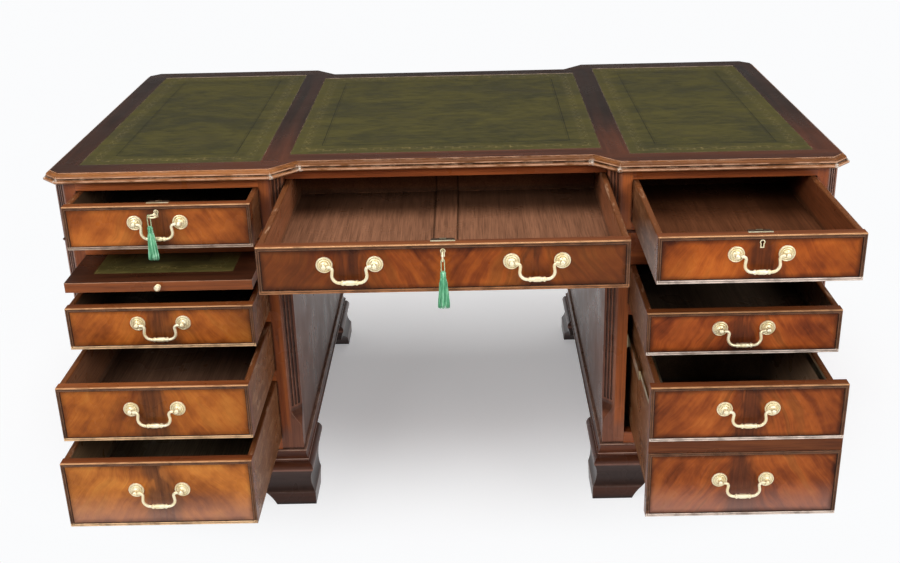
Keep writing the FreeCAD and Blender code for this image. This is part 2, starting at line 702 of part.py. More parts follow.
def rose(x, y, z):
    """A ringed rose with its post, ball and threaded shank, turned about an axis along Y."""
    step = ROSE_RADIUS / 5
    tail = FRONT_THICKNESS + NUT_THICKNESS
    outline = [(0, tail), (SHANK_RADIUS, tail), (SHANK_RADIUS, 0),
               (ROSE_RADIUS, 0), (ROSE_RADIUS, -ROSE_EDGE)]
    for middle, rise in ((ROSE_RADIUS - 0.5 * step, ROSE_RIM), (ROSE_RADIUS - 1.8 * step, ROSE_RING)):
        outline += [(middle + 0.3 * step, -rise * 0.85), (middle, -rise),
                    (middle - 0.3 * step, -rise * 0.85),
                    (middle - 0.5 * step, ROSE_GROOVE - rise), (middle - 0.8 * step, ROSE_GROOVE - rise)]
    outline += [(ROSE_RADIUS - 2.9 * step, -ROSE_DOME * 0.8), (ROSE_RADIUS - 3.4 * step, -ROSE_DOME),
                (POST_RADIUS, -ROSE_DOME - ROSE_EDGE), (POST_RADIUS, -POST_REACH), (0, -POST_REACH)]
    face = Part.Face(polygon([Vector(x + r, y + out, z) for r, out in outline]))
    turned = face.revolve(Vector(x, y, z), Vector(0, 1, 0), 360)
    eye = Vector(x, y - POST_REACH, z)
    along = Vector(BALL_RADIUS + 1, 0, 0)
    turned = turned.fuse(Part.makeSphere(BALL_RADIUS, eye))
    return turned.cut(cylinder(PIN_RADIUS + HOLE_CLEARANCE, eye - along, eye + along))


def nut(x, y, z):
    """A nut on the inside of the front, round the shank."""
    start = Vector(x, y + FRONT_THICKNESS, z)
    end = Vector(x, y + FRONT_THICKNESS + NUT_THICKNESS, z)
    outside = Part.Face(polygon([start + Vector(NUT_RADIUS * math.cos(math.pi * i / 3), 0,
                                                NUT_RADIUS * math.sin(math.pi * i / 3)) for i in range(6)]))
    return outside.extrude(end - start).cut(cylinder(SHANK_RADIUS, start, end))


def rounded_path(points, radii):
    """Straight runs joined by tangent arcs at the inner points."""
    edges = []
    last = points[0]
    for before, corner, after, radius in zip(points, points[1:], points[2:], radii):
        back = (before - corner).normalize()
        ahead = (after - corner).normalize()
        half = back.getAngle(ahead) / 2
        inward = (back + ahead).normalize()
        start = corner + back * (radius / math.tan(half))
        end = corner + ahead * (radius / math.tan(half))
        middle = corner + inward * (radius / math.sin(half) - radius)
        edges.append(Part.makeLine(last, start))
        edges.append(Part.Arc(start, middle, end).toShape())
        last = end
    edges.append(Part.makeLine(last, points[-1]))
    return Part.Wire(edges)


def tube(path, radius):
    start = path.Edges[0].Vertexes[0].Point
    direction = path.Edges[0].tangentAt(path.Edges[0].FirstParameter)
    circle = Part.Wire(Part.makeCircle(radius, start, direction))
    return path.makePipeShell([circle], True, False)


def grip_barrel(centre):
    """The middle of a bail, turned about X: a swelling between two collars that taper into the wire."""
    taper = (GRIP_COLLAR_OFFSET + GRIP_HALF) / 2
    half = [(GRIP_WAIST_OFFSET * 0.6, GRIP_RADIUS * 0.97), (GRIP_WAIST_OFFSET, GRIP_WAIST_RADIUS),
            (GRIP_COLLAR_OFFSET, GRIP_COLLAR_RADIUS), (taper, BAIL_RADIUS * 1.2),
            (GRIP_HALF, BAIL_RADIUS * 0.85)]
    outline = [(-along, radius) for along, radius in reversed(half)] + [(0, GRIP_RADIUS)] + half
    points = [centre + Vector(along, 0, radius) for along, radius in outline]
    curve = Part.BSplineCurve()
    curve.interpolate(points)
    ends = [centre + Vector(outline[0][0], 0, 0), centre + Vector(outline[-1][0], 0, 0)]
    edges = [curve.toShape(), Part.makeLine(points[-1], ends[1]), Part.makeLine(ends[1], ends[0]),
             Part.makeLine(ends[0], points[0])]
    return Part.Face(Part.Wire(edges)).revolve(centre, Vector(1, 0, 0), 360)


def bail(x, y, z):
    """A swan neck drop handle whose end pins turn in the balls of the two posts."""
    end = HANDLE_CENTRES / 2 - BALL_RADIUS - HOLE_CLEARANCE
    half = [(end, 0), (BAIL_NECK, 0), (BAIL_BELLY, -BAIL_DROP)]
    line = half + [(-px, pz) for px, pz in reversed(half)]
    centre = Vector(x, y - POST_REACH, z)
    points = [centre + Vector(px, 0, pz) for px, pz in line]
    bends = [BAIL_NECK_BEND, BAIL_BELLY_BEND]
    grip = tube(rounded_path(points, bends + bends[::-1]), BAIL_RADIUS)
    grip = grip.fuse(grip_barrel(centre - Vector(0, 0, BAIL_DROP)))
    for edge in (LEFT, RIGHT):
        inner = centre + Vector(edge * (end - 1), 0, 0)
        outer = centre + Vector(edge * (HANDLE_CENTRES / 2 + PIN_OVERRUN), 0, 0)
        grip = grip.fuse(cylinder(PIN_RADIUS, inner, outer))
    return grip


def lock_case(drawer):
    """A cut drawer lock behind the front, with a brass selvedge on the top edge."""
    back = drawer.inside
    half = LOCK_WIDTH / 2
    under = drawer.high - SELVEDGE_THICKNESS
    foot = drawer.key_z - LOCK_BELOW_KEY
    case = box((drawer.x - half, drawer.x + half), (back, back + LOCK_DEPTH), (foot, under))
    half = SELVEDGE_WIDTH / 2
    front = drawer.face + SELVEDGE_SETBACK
    selvedge = box((drawer.x - half, drawer.x + half), (front, front + SELVEDGE_DEPTH), (under, drawer.high))
    case = case.fuse(selvedge)
    bolt_y = bolt_depth(drawer)
    half = BOLT_WIDTH / 2 + BOLT_PLAY
    channel = box((drawer.x - half, drawer.x + half), (bolt_y[0] - BOLT_PLAY, bolt_y[1] + BOLT_PLAY),
                  (foot + LOCK_WALL, drawer.high + 1))
    depths = (-1, LOCK_WALL, KEY_DEPTH_IN_LOCK + BOLT_PLAY)
    before, wall, end = [Vector(drawer.x, back + depth, drawer.key_z) for depth in depths]
    chamber = cylinder(KEY_BIT_LENGTH + 1, wall, end)
    bore = cylinder(KEY_SHAFT_RADIUS + HOLE_CLEARANCE, before, wall)
    return case.cut(channel).cut(chamber).cut(bore)


def bolt_depth(drawer):
    start = drawer.inside + KEY_DEPTH_IN_LOCK + 3 * BOLT_PLAY
    return (start, start + BOLT_DEPTH)


def make_bolt(drawer):
    half = BOLT_WIDTH / 2
    floor = drawer.key_z - LOCK_BELOW_KEY + LOCK_WALL
    bolt = box((drawer.x - half, drawer.x + half), bolt_depth(drawer), (floor + BOLT_PLAY, drawer.high))
    export(drawer.name + "_lock_bolt", [bolt])


def make_brassware(drawer, locked):
    pieces = []
    for x, z in drawer.handles:
        for edge in (LEFT, RIGHT):
            post_x = x + edge * HANDLE_CENTRES / 2
            pieces.append(rose(post_x, drawer.face, z))
            pieces.append(nut(post_x, drawer.face, z))
    if locked:
        plate_y = (drawer.face - ESCUTCHEON_PROUD, drawer.face + ESCUTCHEON_DEPTH)
        plate = keyhole(drawer.x, drawer.key_z, plate_y, KEYHOLE_RADIUS + ESCUTCHEON_WALL,
                        KEYHOLE_SLOT + 2 * ESCUTCHEON_WALL)
        through = (plate_y[0] - 1, plate_y[1] + 1)
        pieces.append(plate.cut(keyhole(drawer.x, drawer.key_z, through, KEYHOLE_RADIUS, KEYHOLE_SLOT)))
        pieces.append(lock_case(drawer))
    export(drawer.name + "_brassware", pieces)


def make_bails(drawer):
    suffixes = [""] if len(drawer.handles) == 1 else ["_1", "_2"]
    for (x, z), suffix in zip(drawer.handles, suffixes):
        export(drawer.name + "_bail" + suffix, [bail(x, drawer.face, z)])


def make_key(drawer):
    """A key with a round bow, its shaft through the keyhole and its bit inside the lock."""
    def on_axis(y):
        return Vector(drawer.x, y, drawer.key_z)
    tip = drawer.inside + KEY_DEPTH_IN_LOCK
    neck = drawer.face - KEY_REACH
    key = cylinder(KEY_SHAFT_RADIUS, on_axis(neck), on_axis(tip))
    key = key.fuse(cylinder(KEY_SHAFT_RADIUS + 1, on_axis(neck + 2), on_axis(neck + 4)))
    key = key.fuse(Part.makeTorus(KEY_BOW_RADIUS, KEY_BOW_WIRE, bow_centre(drawer), Vector(1, 0, 0)))
    half = KEY_BIT_THICKNESS / 2
    bit = box((drawer.x - half, drawer.x + half), (tip - KEY_BIT_WIDTH, tip),
              (drawer.key_z - KEY_BIT_LENGTH, drawer.key_z))
    key = key.fuse(bit)
    key.rotate(bow_centre(drawer), Vector(0, 1, 0), drawer.key_turn)
    export(drawer.name + "_key", [key])


def bow_centre(drawer):
    return Vector(drawer.x, drawer.face - KEY_REACH - KEY_BOW_RADIUS, drawer.key_z)


def hanging_point(drawer):
    """Middle of the bow's wire where the cord hangs, at the side of the bow on a turned key."""
    angle = math.radians(drawer.key_turn)
    return bow_centre(drawer) - KEY_BOW_RADIUS * Vector(math.sin(angle), 0, math.cos(angle))


def turned_upright(profile):
    """A form turned about the vertical axis, from radii and heights."""
    face = Part.Face(polygon([Vector(radius, 0, z) for radius, z in profile]))
    return face.revolve(Vector(0, 0, 0), Vector(0, 0, 1), 360)


def tassel_head():
    """A round bead of silk with its top at the origin, and the neck that its skirt is tied to."""
    radius = TASSEL_HEAD_RADIUS
    tie = -2 * radius - TASSEL_TIE_DROP
    return turned_upright([(0, 0), (radius * 0.8, 0), (radius, -radius * 0.6), (radius, -radius * 1.3),
                           (TASSEL_NECK_RADIUS, -2 * radius), (TASSEL_NECK_RADIUS, tie), (0, tie)])


def tassel_skirt():
    """The hanging strands below the head, spread to the sides and flat from front to back."""
    top = -2 * TASSEL_HEAD_RADIUS
    shoulder = (TASSEL_TIE_RADIUS * 1.2, top - TASSEL_TIE_DROP)
    foot = top - TASSEL_SKIRT_LENGTH
    outline = [(0, top), (TASSEL_TIE_RADIUS, top), shoulder, (TASSEL_SKIRT_RADIUS, foot), (0, foot)]
    flatten = FreeCAD.Matrix()
    flatten.scale(1, TASSEL_FLATNESS, 1)
    return turned_upright(outline).transformGeometry(flatten)


def make_tassel(drawer):
    """A cord looped over the wire of the key bow, and the tassel that hangs on it."""
    wire = hanging_point(drawer)
    bend = KEY_BOW_WIRE + CORD_CLEARANCE + CORD_RADIUS
    head_top = wire - Vector(0, 0, CORD_LENGTH)
    across = Vector(bend, 0, 0)
    end_circle = Part.Wire(Part.makeCircle(CORD_RADIUS, wire - across, Vector(0, 0, 1)))
    loop = Part.Face(end_circle).revolve(wire, Vector(0, 1, 0), 180)
    for end in (-across, across):
        loop = loop.fuse(cylinder(CORD_RADIUS, head_top + end, wire + end))
    length = 2 * CORD_LENGTH + math.pi * bend
    print(drawer.name, "cord length", round(length, 1), "bend radius", round(bend, 2),
          "volume ratio", round(loop.Volume / (math.pi * CORD_RADIUS ** 2 * length), 4))
    export(drawer.name + "_tassel_cord", [loop])
    export(drawer.name + "_tassel", [tassel_head().fuse(tassel_skirt()).translated(head_top)])


# Telescopic runners of the file drawer

def runner_offset(bar):
    """Distance of a runner bar's outer face from the drawer's middle: 0 fixed, 1 middle, 2 inner."""
    outer = DRAWER_WIDTH / 2 - FILE_SIDE_GAP + 3 * RUNNER_BAR + 2 * RUNNER_PLAY
    return outer - bar * (RUNNER_BAR + RUNNER_PLAY)


def file_runner_z():
    return MIDDLE[1] - RUNNER_DROP


def runner_bars(bar, y_start):
    height = RUNNER_HEIGHT / 2 - bar * RUNNER_STEP
    level = (file_runner_z() - height, file_runner_z() + height)
    bars = []
    for edge in (LEFT, RIGHT):
        outer = runner_offset(bar)
        x_range = (PEDESTAL_X + edge * outer, PEDESTAL_X + edge * (outer - RUNNER_BAR))
        bars.append(box(x_range, (y_start, y_start + RUNNER_LENGTH), level))
    return bars


def make_file_runners(drawer):
    closed = POST_DEPTH - CASE_Y
    export("file_runner_fixed", runner_bars(0, closed))
    export("file_runner_middle", runner_bars(1, closed - PULL_FILE / 2))
    steel = runner_bars(2, closed - PULL_FILE)
    for edge in (LEFT, RIGHT):
        inner = drawer.half - FILE_SIDE_GAP - SIDE_THICKNESS
        top = drawer.high - FILE_TOP_GAP - SIDE_ROUND
        x_range = (drawer.x + edge * inner, drawer.x + edge * (inner - HANGING_RAIL_WIDTH))
        y_range = (drawer.inside, drawer.tail - BACK_THICKNESS)
        steel.append(box(x_range, y_range, (top - HANGING_RAIL_HEIGHT, top)))
    export("file_runner_inner", steel)


# Writing slide

def make_writing_slide():
    x = LEFT * PEDESTAL_X
    half = DRAWER_WIDTH / 2
    face = -CASE_Y - PULL_WRITING_SLIDE
    level = (SLIDE[0] + DRAWER_CLEARANCE, SLIDE[1] - DRAWER_CLEARANCE)
    board = box((x - half, x + half), (face, face + SLIDE_LENGTH), level)
    inset = half - SLIDE_LEATHER_MARGIN
    leather_y = (face + SLIDE_LEATHER_MARGIN, face + SLIDE_LENGTH - SLIDE_LEATHER_MARGIN)
    leather = box((x - inset, x + inset), leather_y, (level[1] - LEATHER_THICKNESS, level[1]))
    export("writing_slide_board", [board.cut(leather)])
    export("writing_slide_leather", [leather])
    z = sum(level) / 2
    neck = KNOB_RADIUS * 0.45
    collar = KNOB_RADIUS * 0.8
    outline = [(0, 0), (collar, 0), (collar, -KNOB_LENGTH * 0.1), (neck, -KNOB_LENGTH * 0.2),
               (neck, -KNOB_LENGTH * 0.45), (KNOB_RADIUS, -KNOB_LENGTH * 0.65),
               (KNOB_RADIUS, -KNOB_LENGTH * 0.8), (KNOB_RADIUS * 0.6, -KNOB_LENGTH), (0, -KNOB_LENGTH)]
    turned = Part.Face(polygon([Vector(x + r, face + out, z) for r, out in outline]))
    export("writing_slide_knob", [turned.revolve(Vector(x, face, z), Vector(0, 1, 0), 360)])


def middle_height(opening):
    return sum(opening) / 2 + HANDLE_RISE


def pedestal_drawer(name, side, opening, pull, handle_levels):
    handles = [(side * PEDESTAL_X, z) for z in handle_levels]
    return Drawer(name, side * PEDESTAL_X, DRAWER_WIDTH / 2, opening, -CASE_Y, pull, handles)


def make_drawers():
    frieze_z = middle_height(FRIEZE)
    left_top = pedestal_drawer("left_top", LEFT, FRIEZE, PULL_LEFT_TOP, [frieze_z])
    right_top = pedestal_drawer("right_top", RIGHT, FRIEZE, PULL_RIGHT_TOP, [frieze_z])
    centre = Drawer("centre", 0.0, KNEE_X - DRAWER_CLEARANCE, FRIEZE, -CENTRE_Y, PULL_CENTRE,
                    [(-CENTRE_HANDLE_X, frieze_z), (CENTRE_HANDLE_X, frieze_z)])
    upper_z = middle_height(UPPER)
    middle_z = middle_height(MIDDLE)
    lower_z = middle_height(LOWER)
    plain = [pedestal_drawer("left_upper", LEFT, UPPER, PULL_LEFT_UPPER, [upper_z]),
             pedestal_drawer("left_middle", LEFT, MIDDLE, PULL_LEFT_MIDDLE, [middle_z]),
             pedestal_drawer("left_lower", LEFT, LOWER, PULL_LEFT_LOWER, [lower_z]),
             pedestal_drawer("right_upper", RIGHT, UPPER, PULL_RIGHT_UPPER, [upper_z])]
    file_drawer = pedestal_drawer("file", RIGHT, (LOWER[0], MIDDLE[1]), PULL_FILE, [middle_z, lower_z])
    locked = [left_top, centre, right_top]
    for drawer in locked + plain + [file_drawer]:
        make_front(drawer, drawer in locked)
        make_brassware(drawer, drawer in locked)
        make_bails(drawer)
    for drawer in locked + plain:
        make_box(drawer, 0.0, 0.0, SIDE_DROP, drawer is centre)
    make_box(file_drawer, FILE_SIDE_GAP, FILE_BOTTOM_GAP, FILE_TOP_GAP, False)
    make_file_runners(file_drawer)
    for drawer in locked:
        make_bolt(drawer)
    for drawer in (left_top, centre):
        make_key(drawer)
        make_tassel(drawer)


os.makedirs("parts", exist_ok=True)
make_top()
make_posts()
make_frieze_case()
make_pedestal_panels()
make_rails()
make_runners()
make_pedestal_tops()
make_plinths()
make_feet()
make_drawers()
make_writing_slide()
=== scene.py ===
import math
import random

import bmesh
import bpy
from mathutils import Matrix, Vector


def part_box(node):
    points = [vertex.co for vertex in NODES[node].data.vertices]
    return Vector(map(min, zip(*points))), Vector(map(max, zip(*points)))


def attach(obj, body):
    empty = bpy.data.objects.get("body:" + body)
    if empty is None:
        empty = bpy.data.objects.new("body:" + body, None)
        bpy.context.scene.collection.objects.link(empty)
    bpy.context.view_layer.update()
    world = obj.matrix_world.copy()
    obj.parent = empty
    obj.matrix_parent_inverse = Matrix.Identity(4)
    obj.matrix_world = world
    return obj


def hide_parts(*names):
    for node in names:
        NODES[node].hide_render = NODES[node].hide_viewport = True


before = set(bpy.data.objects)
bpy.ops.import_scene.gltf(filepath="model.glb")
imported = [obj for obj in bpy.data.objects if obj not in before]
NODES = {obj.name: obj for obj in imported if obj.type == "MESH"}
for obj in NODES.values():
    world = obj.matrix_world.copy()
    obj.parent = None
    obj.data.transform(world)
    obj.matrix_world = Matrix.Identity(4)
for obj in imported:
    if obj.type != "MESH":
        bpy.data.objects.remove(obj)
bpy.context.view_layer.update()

# Sizes of the desk that the looks need, in metres, as in the part's source
TOP_LEVEL = 0.780
MITRES = [(0.345, 0.448), (0.295, 0.398), (0.810, 0.416), (0.778, 0.448)]
PEDESTAL_X = 0.560
OPENING_HALF = 0.1838
WING_LEATHER = (0.185, 0.383)
CENTRE_LEATHER = (0.321, 0.339)
WING_INNER = PEDESTAL_X - WING_LEATHER[0]
WING_OUTER = PEDESTAL_X + WING_LEATHER[0]
BANDING_X = (CENTRE_LEATHER[0] + WING_INNER) / 2
FILE_FIELDS = ((0.1588, 0.3008), (0.3267, 0.4411))
FOOT_HEIGHT = 0.104
# Heights of the plinth's reeds that get a painted highlight line
PLINTH_GLINT_LEVELS = (0.1302, 0.1108)
FLUTE_BASE = 0.235
MUNTIN_HALF = 0.023
CENTRE_HANDLE = 0.1645
BEAD = 0.007
BEAD_RISE = 0.0024
FACE_SLACK = 0.0004
KEY_REACH = 0.018
KEY_BOW = 0.008
KEY_DROP = 0.013

# Members of the top's moulded edge, as heights where each starts and is full, then is last full and ends
EDGE_COVE = (0.7622, 0.7600)
EDGE_BEAD = (0.7622, 0.7640, 0.7650, 0.7668)
EDGE_HOLLOW = (0.7668, 0.7678, 0.7700, 0.7712)
EDGE_RIDGE = (0.7702, 0.7712, 0.7718, 0.7728)
EDGE_ARRIS = (0.7785, 0.7796)

# Tooling of the leathers, as distances from their edge: a rule is its place and its half width
VINE_PLACE = 0.0260
VINE_SWING = 0.0036
VINE_REPEAT = 0.030
BUD_REACH = 0.0050
GILT_RULES = ((0.0185, 0.0007), (0.0335, 0.0007), (0.0362, 0.0005), (0.0025, 0.0006))
BLIND_RULE = (0.0600, 0.0011)
FAINT_RULE = (0.0640, 0.0007)

# Sizes of a tassel: bindings are (drop, radius), the head's profile is (radius, drop)
CORD_DROP = 0.020
CORD_BEND = 0.0029
CORD_WAIST = -0.0096
CORD_RADIUS = 0.0008
HEAD_PROFILE = [(0.0006, 0.0), (0.0024, 0.0001), (0.0037, 0.0007), (0.0046, 0.0018), (0.0050, 0.0034),
                (0.0050, 0.0052), (0.0047, 0.0068), (0.0043, 0.0080), (0.0040, 0.0094), (0.0040, 0.0114)]
BINDINGS = ((0.0004, 0.0030), (0.0086, 0.0046), (0.0097, 0.0047), (0.0108, 0.0047))
BINDING_RADIUS = 0.00060
SKIRT_TOP = 0.0108
SKIRT_LENGTH = 0.0585
SKIRT_UNEVEN = 0.0045
TASSEL_FLATNESS = 0.58
THREAD_RADIUS = 0.00042

# Posts and panels right of the middle are painted lighter by this much, for the light that falls on them
RIGHT_PAINTED_LIGHT = (1.28, 1.28, 1.28)

# Each drawer front's veneer: its tint, the strength of its streaks, of its dark border (darker glaze and
# painted shadow of the bead) and of the painted shade at its left and right ends, and the colour of the painted
# highlight on its lower reeds
# Colours painted on the lower reeds' crests, for their highlight and the floor's reflection in them
PALE_REED = (0.76, 0.62, 0.53)
TAN_REED = (0.80, 0.51, 0.28)
ASH_REED = (0.46, 0.33, 0.25)
BROWN_REED = (0.36, 0.160, 0.070)
VENEERS = {
    "left_top": ((1.15, 1.13, 1.06), 0.7, 0.7, (0.0, 0.3), ASH_REED),
    "centre": ((0.82, 0.68, 0.54), 1.2, 0.9, (0.0, 0.0), BROWN_REED),
    "right_top": ((1.06, 0.86, 0.62), 0.8, 1.0, (0.45, 0.40), PALE_REED),
    "left_upper": ((1.30, 1.32, 1.15), 0.8, 0.7, (0.2, 0.8), TAN_REED),
    "left_middle": ((1.05, 1.09, 0.92), 0.7, 0.6, (0.0, 0.2), TAN_REED),
    "left_lower": ((1.26, 1.48, 1.50), 0.7, 0.6, (0.2, 0.0), TAN_REED),
    "right_upper": ((0.96, 0.75, 0.70), 1.3, 1.0, (0.1, 0.4), PALE_REED),
    "file": ((0.90, 0.77, 0.74), 1.2, 1.0, (0.35, 0.25), PALE_REED),
}
# Fronts with a painted reflection of the floor, paler towards their bottom
FLOOR_REFLECTING_FRONTS = ("left_lower", "file")

# Where the noise of the first veneer is cut, and how far on the next one
FIRST_LEAF = 3.1
LEAF_STEP = 2.3

# Dark and light wood inside each drawer, toned for the light that reaches in, so partly painted light and
# shade;
# those not named are deep in shade
LININGS = {
    "centre": ((0.160, 0.070, 0.038), (0.300, 0.134, 0.072)),
    "right_top": ((0.076, 0.027, 0.012), (0.155, 0.055, 0.024)),
    "left_middle": ((0.110, 0.055, 0.033), (0.210, 0.110, 0.066)),
    "left_lower": ((0.095, 0.068, 0.042), (0.180, 0.130, 0.080)),
    "file": ((0.140, 0.100, 0.070), (0.260, 0.190, 0.135)),
}
DEEP_LINING = ((0.040, 0.026, 0.017), (0.085, 0.058, 0.038))

# Drawers with a lock, and how far the lock's bright edge reaches into the front's back
LOCKED = ("left_top", "centre", "right_top")
LOCK_INSET = 0.0015


class Shader:
    """A material under construction: most methods add nodes and return an output socket."""

    def __init__(self, name):
        self.material = bpy.data.materials.new(name)
        self.material.use_nodes = True
        self.tree = self.material.node_tree
        self.tree.nodes.clear()
        self.bsdf = self.tree.nodes.new("ShaderNodeBsdfPrincipled")
        self.out = self.tree.nodes.new("ShaderNodeOutputMaterial")
        self.tree.links.new(self.bsdf.outputs[0], self.out.inputs["Surface"])
        self.point = self.node("ShaderNodeTexCoord").outputs["Object"]
        split = self.node("ShaderNodeSeparateXYZ", {0: self.point})
        self.x, self.y, self.z = split.outputs

    def node(self, kind, inputs=None, **settings):
        made = self.tree.nodes.new(kind)
        for name, value in settings.items():
            setattr(made, name, value)
        for key, value in (inputs or {}).items():
            self.put(made.inputs[key], value)
        return made

    def put(self, socket, value):
        """Links a socket to another one, or sets its value."""
        if isinstance(value, bpy.types.NodeSocket):
            self.tree.links.new(value, socket)
        elif socket.type == "RGBA" and len(value) == 3:
            socket.default_value = (*value, 1.0)
        else:
            socket.default_value = value

    def math(self, operation, *values):
        return self.node("ShaderNodeMath", dict(enumerate(values)), operation=operation).outputs[0]

    def chain(self, operation, values):
        """Joins any number of values, from the first to the last, by one operation."""
        total = values[0]
        for value in values[1:]:
            total = self.math(operation, total, value)
        return total

    def add(self, *values):
        return self.chain("ADD", values)

    def mul(self, *values):
        return self.chain("MULTIPLY", values)

    def least(self, *values):
        return self.chain("MINIMUM", values)

    def most(self, *values):
        return self.chain("MAXIMUM", values)

    def sub(self, a, b):
        return self.math("SUBTRACT", a, b)

    def absolute(self, value):
        return self.math("ABSOLUTE", value)

    def over(self, value, limit):
        return self.math("GREATER_THAN", value, limit)

    def under(self, value, limit):
        return self.math("LESS_THAN", value, limit)

    def centred(self, value):
        """Noise from 0 to 1, moved to lie about 0."""
        return self.sub(value, 0.5)

    def ramp(self, value, low, high, to_low=0.0, to_high=1.0):
        """A smooth step of value between low and high, which may run either way."""
        if low > high:
            low, high, to_low, to_high = high, low, to_high, to_low
        made = self.node("ShaderNodeMapRange", {0: value, 1: low, 2: high, 3: to_low, 4: to_high},
                         interpolation_type="SMOOTHSTEP")
        return made.outputs[0]

    def near(self, value, place, width, core):
        """1 within core of a place, falling to 0 at width from it."""
        return self.ramp(self.absolute(self.sub(value, place)), width, core)

    def band(self, value, start, full, full_end, end):
        """1 between full and full_end, falling to 0 at start and at end."""
        return self.mul(self.ramp(value, start, full), self.ramp(value, end, full_end))

    def vector(self, x, y, z):
        return self.node("ShaderNodeCombineXYZ", {0: x, 1: y, 2: z}).outputs[0]

    def scaled(self, vector, scale):
        return self.node("ShaderNodeVectorMath", {0: vector, 1: scale}, operation="MULTIPLY").outputs[0]

    def noise(self, vector, scale=1.0, detail=3.0, roughness=0.55, distortion=0.0):
        made = self.node("ShaderNodeTexNoise", {"Vector": vector, "Scale": scale, "Detail": detail,
                                                "Roughness": roughness, "Distortion": distortion})
        return made.outputs["Fac"]

    def drawn(self, scales, detail=3.0, roughness=0.55, distortion=0.0):
        """Noise over the object's own place, drawn out by a scale for each axis."""
        return self.noise(self.scaled(self.point, scales), 1.0, detail, roughness, distortion)

    def flow(self, a, scale_a, b, scale_b, seed, detail=3.0, roughness=0.55, distortion=0.0):
        """Noise over two measures, each with its own scale."""
        place = self.vector(self.mul(a, scale_a), self.mul(b, scale_b), seed)
        return self.noise(place, 1.0, detail, roughness, distortion)

    def mix(self, factor, a, b, blend="MIX"):
        made = self.node("ShaderNodeMix", {0: factor, 6: a, 7: b}, data_type="RGBA", blend_type=blend)
        return made.outputs[2]

    def blend(self, factor, a, b):
        made = self.node("ShaderNodeMix", {0: factor, 2: a, 3: b}, data_type="FLOAT")
        return made.outputs[0]

    def colours(self, value, stops):
        made = self.node("ShaderNodeValToRGB", {0: value})
        ramp = made.color_ramp
        while len(ramp.elements) < len(stops):
            ramp.elements.new(0.5)
        for element, (place, colour) in zip(ramp.elements, stops):
            element.position = place
            element.color = (*colour, 1.0)
        return made.outputs[0]

    def times(self, factor, colour, tint):
        """The colour, multiplied by a tint where factor is 1."""
        return self.mix(factor, colour, tint, "MULTIPLY")

    def darker(self, factor, colour, share):
        """The colour, brought down to a share of itself where factor is 1."""
        return self.times(factor, colour, (share, share, share))

    def openness(self, distance, samples=4):
        """1 on open faces, less in grooves and corners."""
        return self.node("ShaderNodeAmbientOcclusion", {"Distance": distance}, samples=samples).outputs["AO"]

    def soft_edge(self, radius):
        """A normal that rounds sharp edges, and a mask of those edges."""
        rounded = self.node("ShaderNodeBevel", {"Radius": radius}, samples=4).outputs[0]
        flat = self.node("ShaderNodeNewGeometry").outputs["Normal"]
        same = self.node("ShaderNodeVectorMath", {0: rounded, 1: flat}, operation="DOT_PRODUCT")
        return rounded, self.ramp(same.outputs["Value"], 0.995, 0.9)

    def bump(self, height, distance, strength=1.0, normal=None):
        inputs = {"Height": height, "Distance": distance, "Strength": strength}
        if normal is not None:
            inputs["Normal"] = normal
        return self.node("ShaderNodeBump", inputs).outputs[0]

    def finish(self, colour, roughness, normal=None, metallic=None, sheen=None, specular=None):
        """Joins the surface to its shader: sheen is (weight, roughness, tint)."""
        self.put(self.bsdf.inputs["Base Color"], colour)
        self.put(self.bsdf.inputs["Roughness"], roughness)
        if normal is not None:
            self.put(self.bsdf.inputs["Normal"], normal)
        if metallic is not None:
            self.bsdf.inputs["Metallic"].default_value = metallic
        if specular is not None:
            self.bsdf.inputs["Specular IOR Level"].default_value = specular
        if sheen is not None:
            self.bsdf.inputs["Sheen Weight"].default_value = sheen[0]
            self.bsdf.inputs["Sheen Roughness"].default_value = sheen[1]
            self.bsdf.inputs["Sheen Tint"].default_value = (*sheen[2], 1.0)
        return self.material


# Wood

FIGURE_SCALES = {"x": (2.0, 34.0, 34.0), "y": (34.0, 2.0, 34.0), "z": (34.0, 34.0, 2.0)}
PORE_SCALES = {"x": (14.0, 520.0, 520.0), "y": (520.0, 14.0, 520.0), "z": (520.0, 520.0, 14.0)}


def grain(s, axis, point=None):
    """Broad figure and fine pores of straight-grained wood, each from 0 to 1."""
    point = s.point if point is None else point
    figure = s.noise(s.scaled(point, FIGURE_SCALES[axis]), 1.0, 4.0, 0.6, 0.5)
    pores = s.noise(s.scaled(point, PORE_SCALES[axis]), 1.0, 2.0, 0.6)
    return figure, s.ramp(pores, 0.52, 0.68)


def wood_colour(s, figure, pores, dark, light):
    """Wood between two tones, darker in its pores."""
    colour = s.mix(s.ramp(figure, 0.3, 0.7), dark, light)
    return s.darker(s.mul(pores, 0.55), colour, 0.45)


def polished(s, colour, pores, wear_and_highlight=(0.42, 0.17, 0.075), specular=0.28, edge=0.0012, relief=0.00012):
    """Finishes wood: pale arrises from rubbing and a painted highlight, edges rounded, and a polish that isn't
    even.
    """
    rounded, edges = s.soft_edge(edge)
    # Painted highlight and rubbing on the arrises, in one pale colour
    wear_and_glint = s.ramp(s.noise(s.point, 38.0, 3.0), 0.42, 0.66)
    colour = s.mix(s.mul(edges, wear_and_glint, 0.65), colour, wear_and_highlight)
    haze = s.noise(s.point, 9.0, 3.0)
    normal = s.bump(s.mul(pores, -1.0), relief, 0.5, rounded)
    return s.finish(colour, s.ramp(haze, 0.25, 0.75, 0.24, 0.36), normal, specular=specular)


def straight_wood(name, axis, dark, light):
    """Plain polished wood with its grain along one axis."""
    s = Shader(name)
    figure, pores = grain(s, axis)
    return polished(s, wood_colour(s, figure, pores, dark, light), pores)


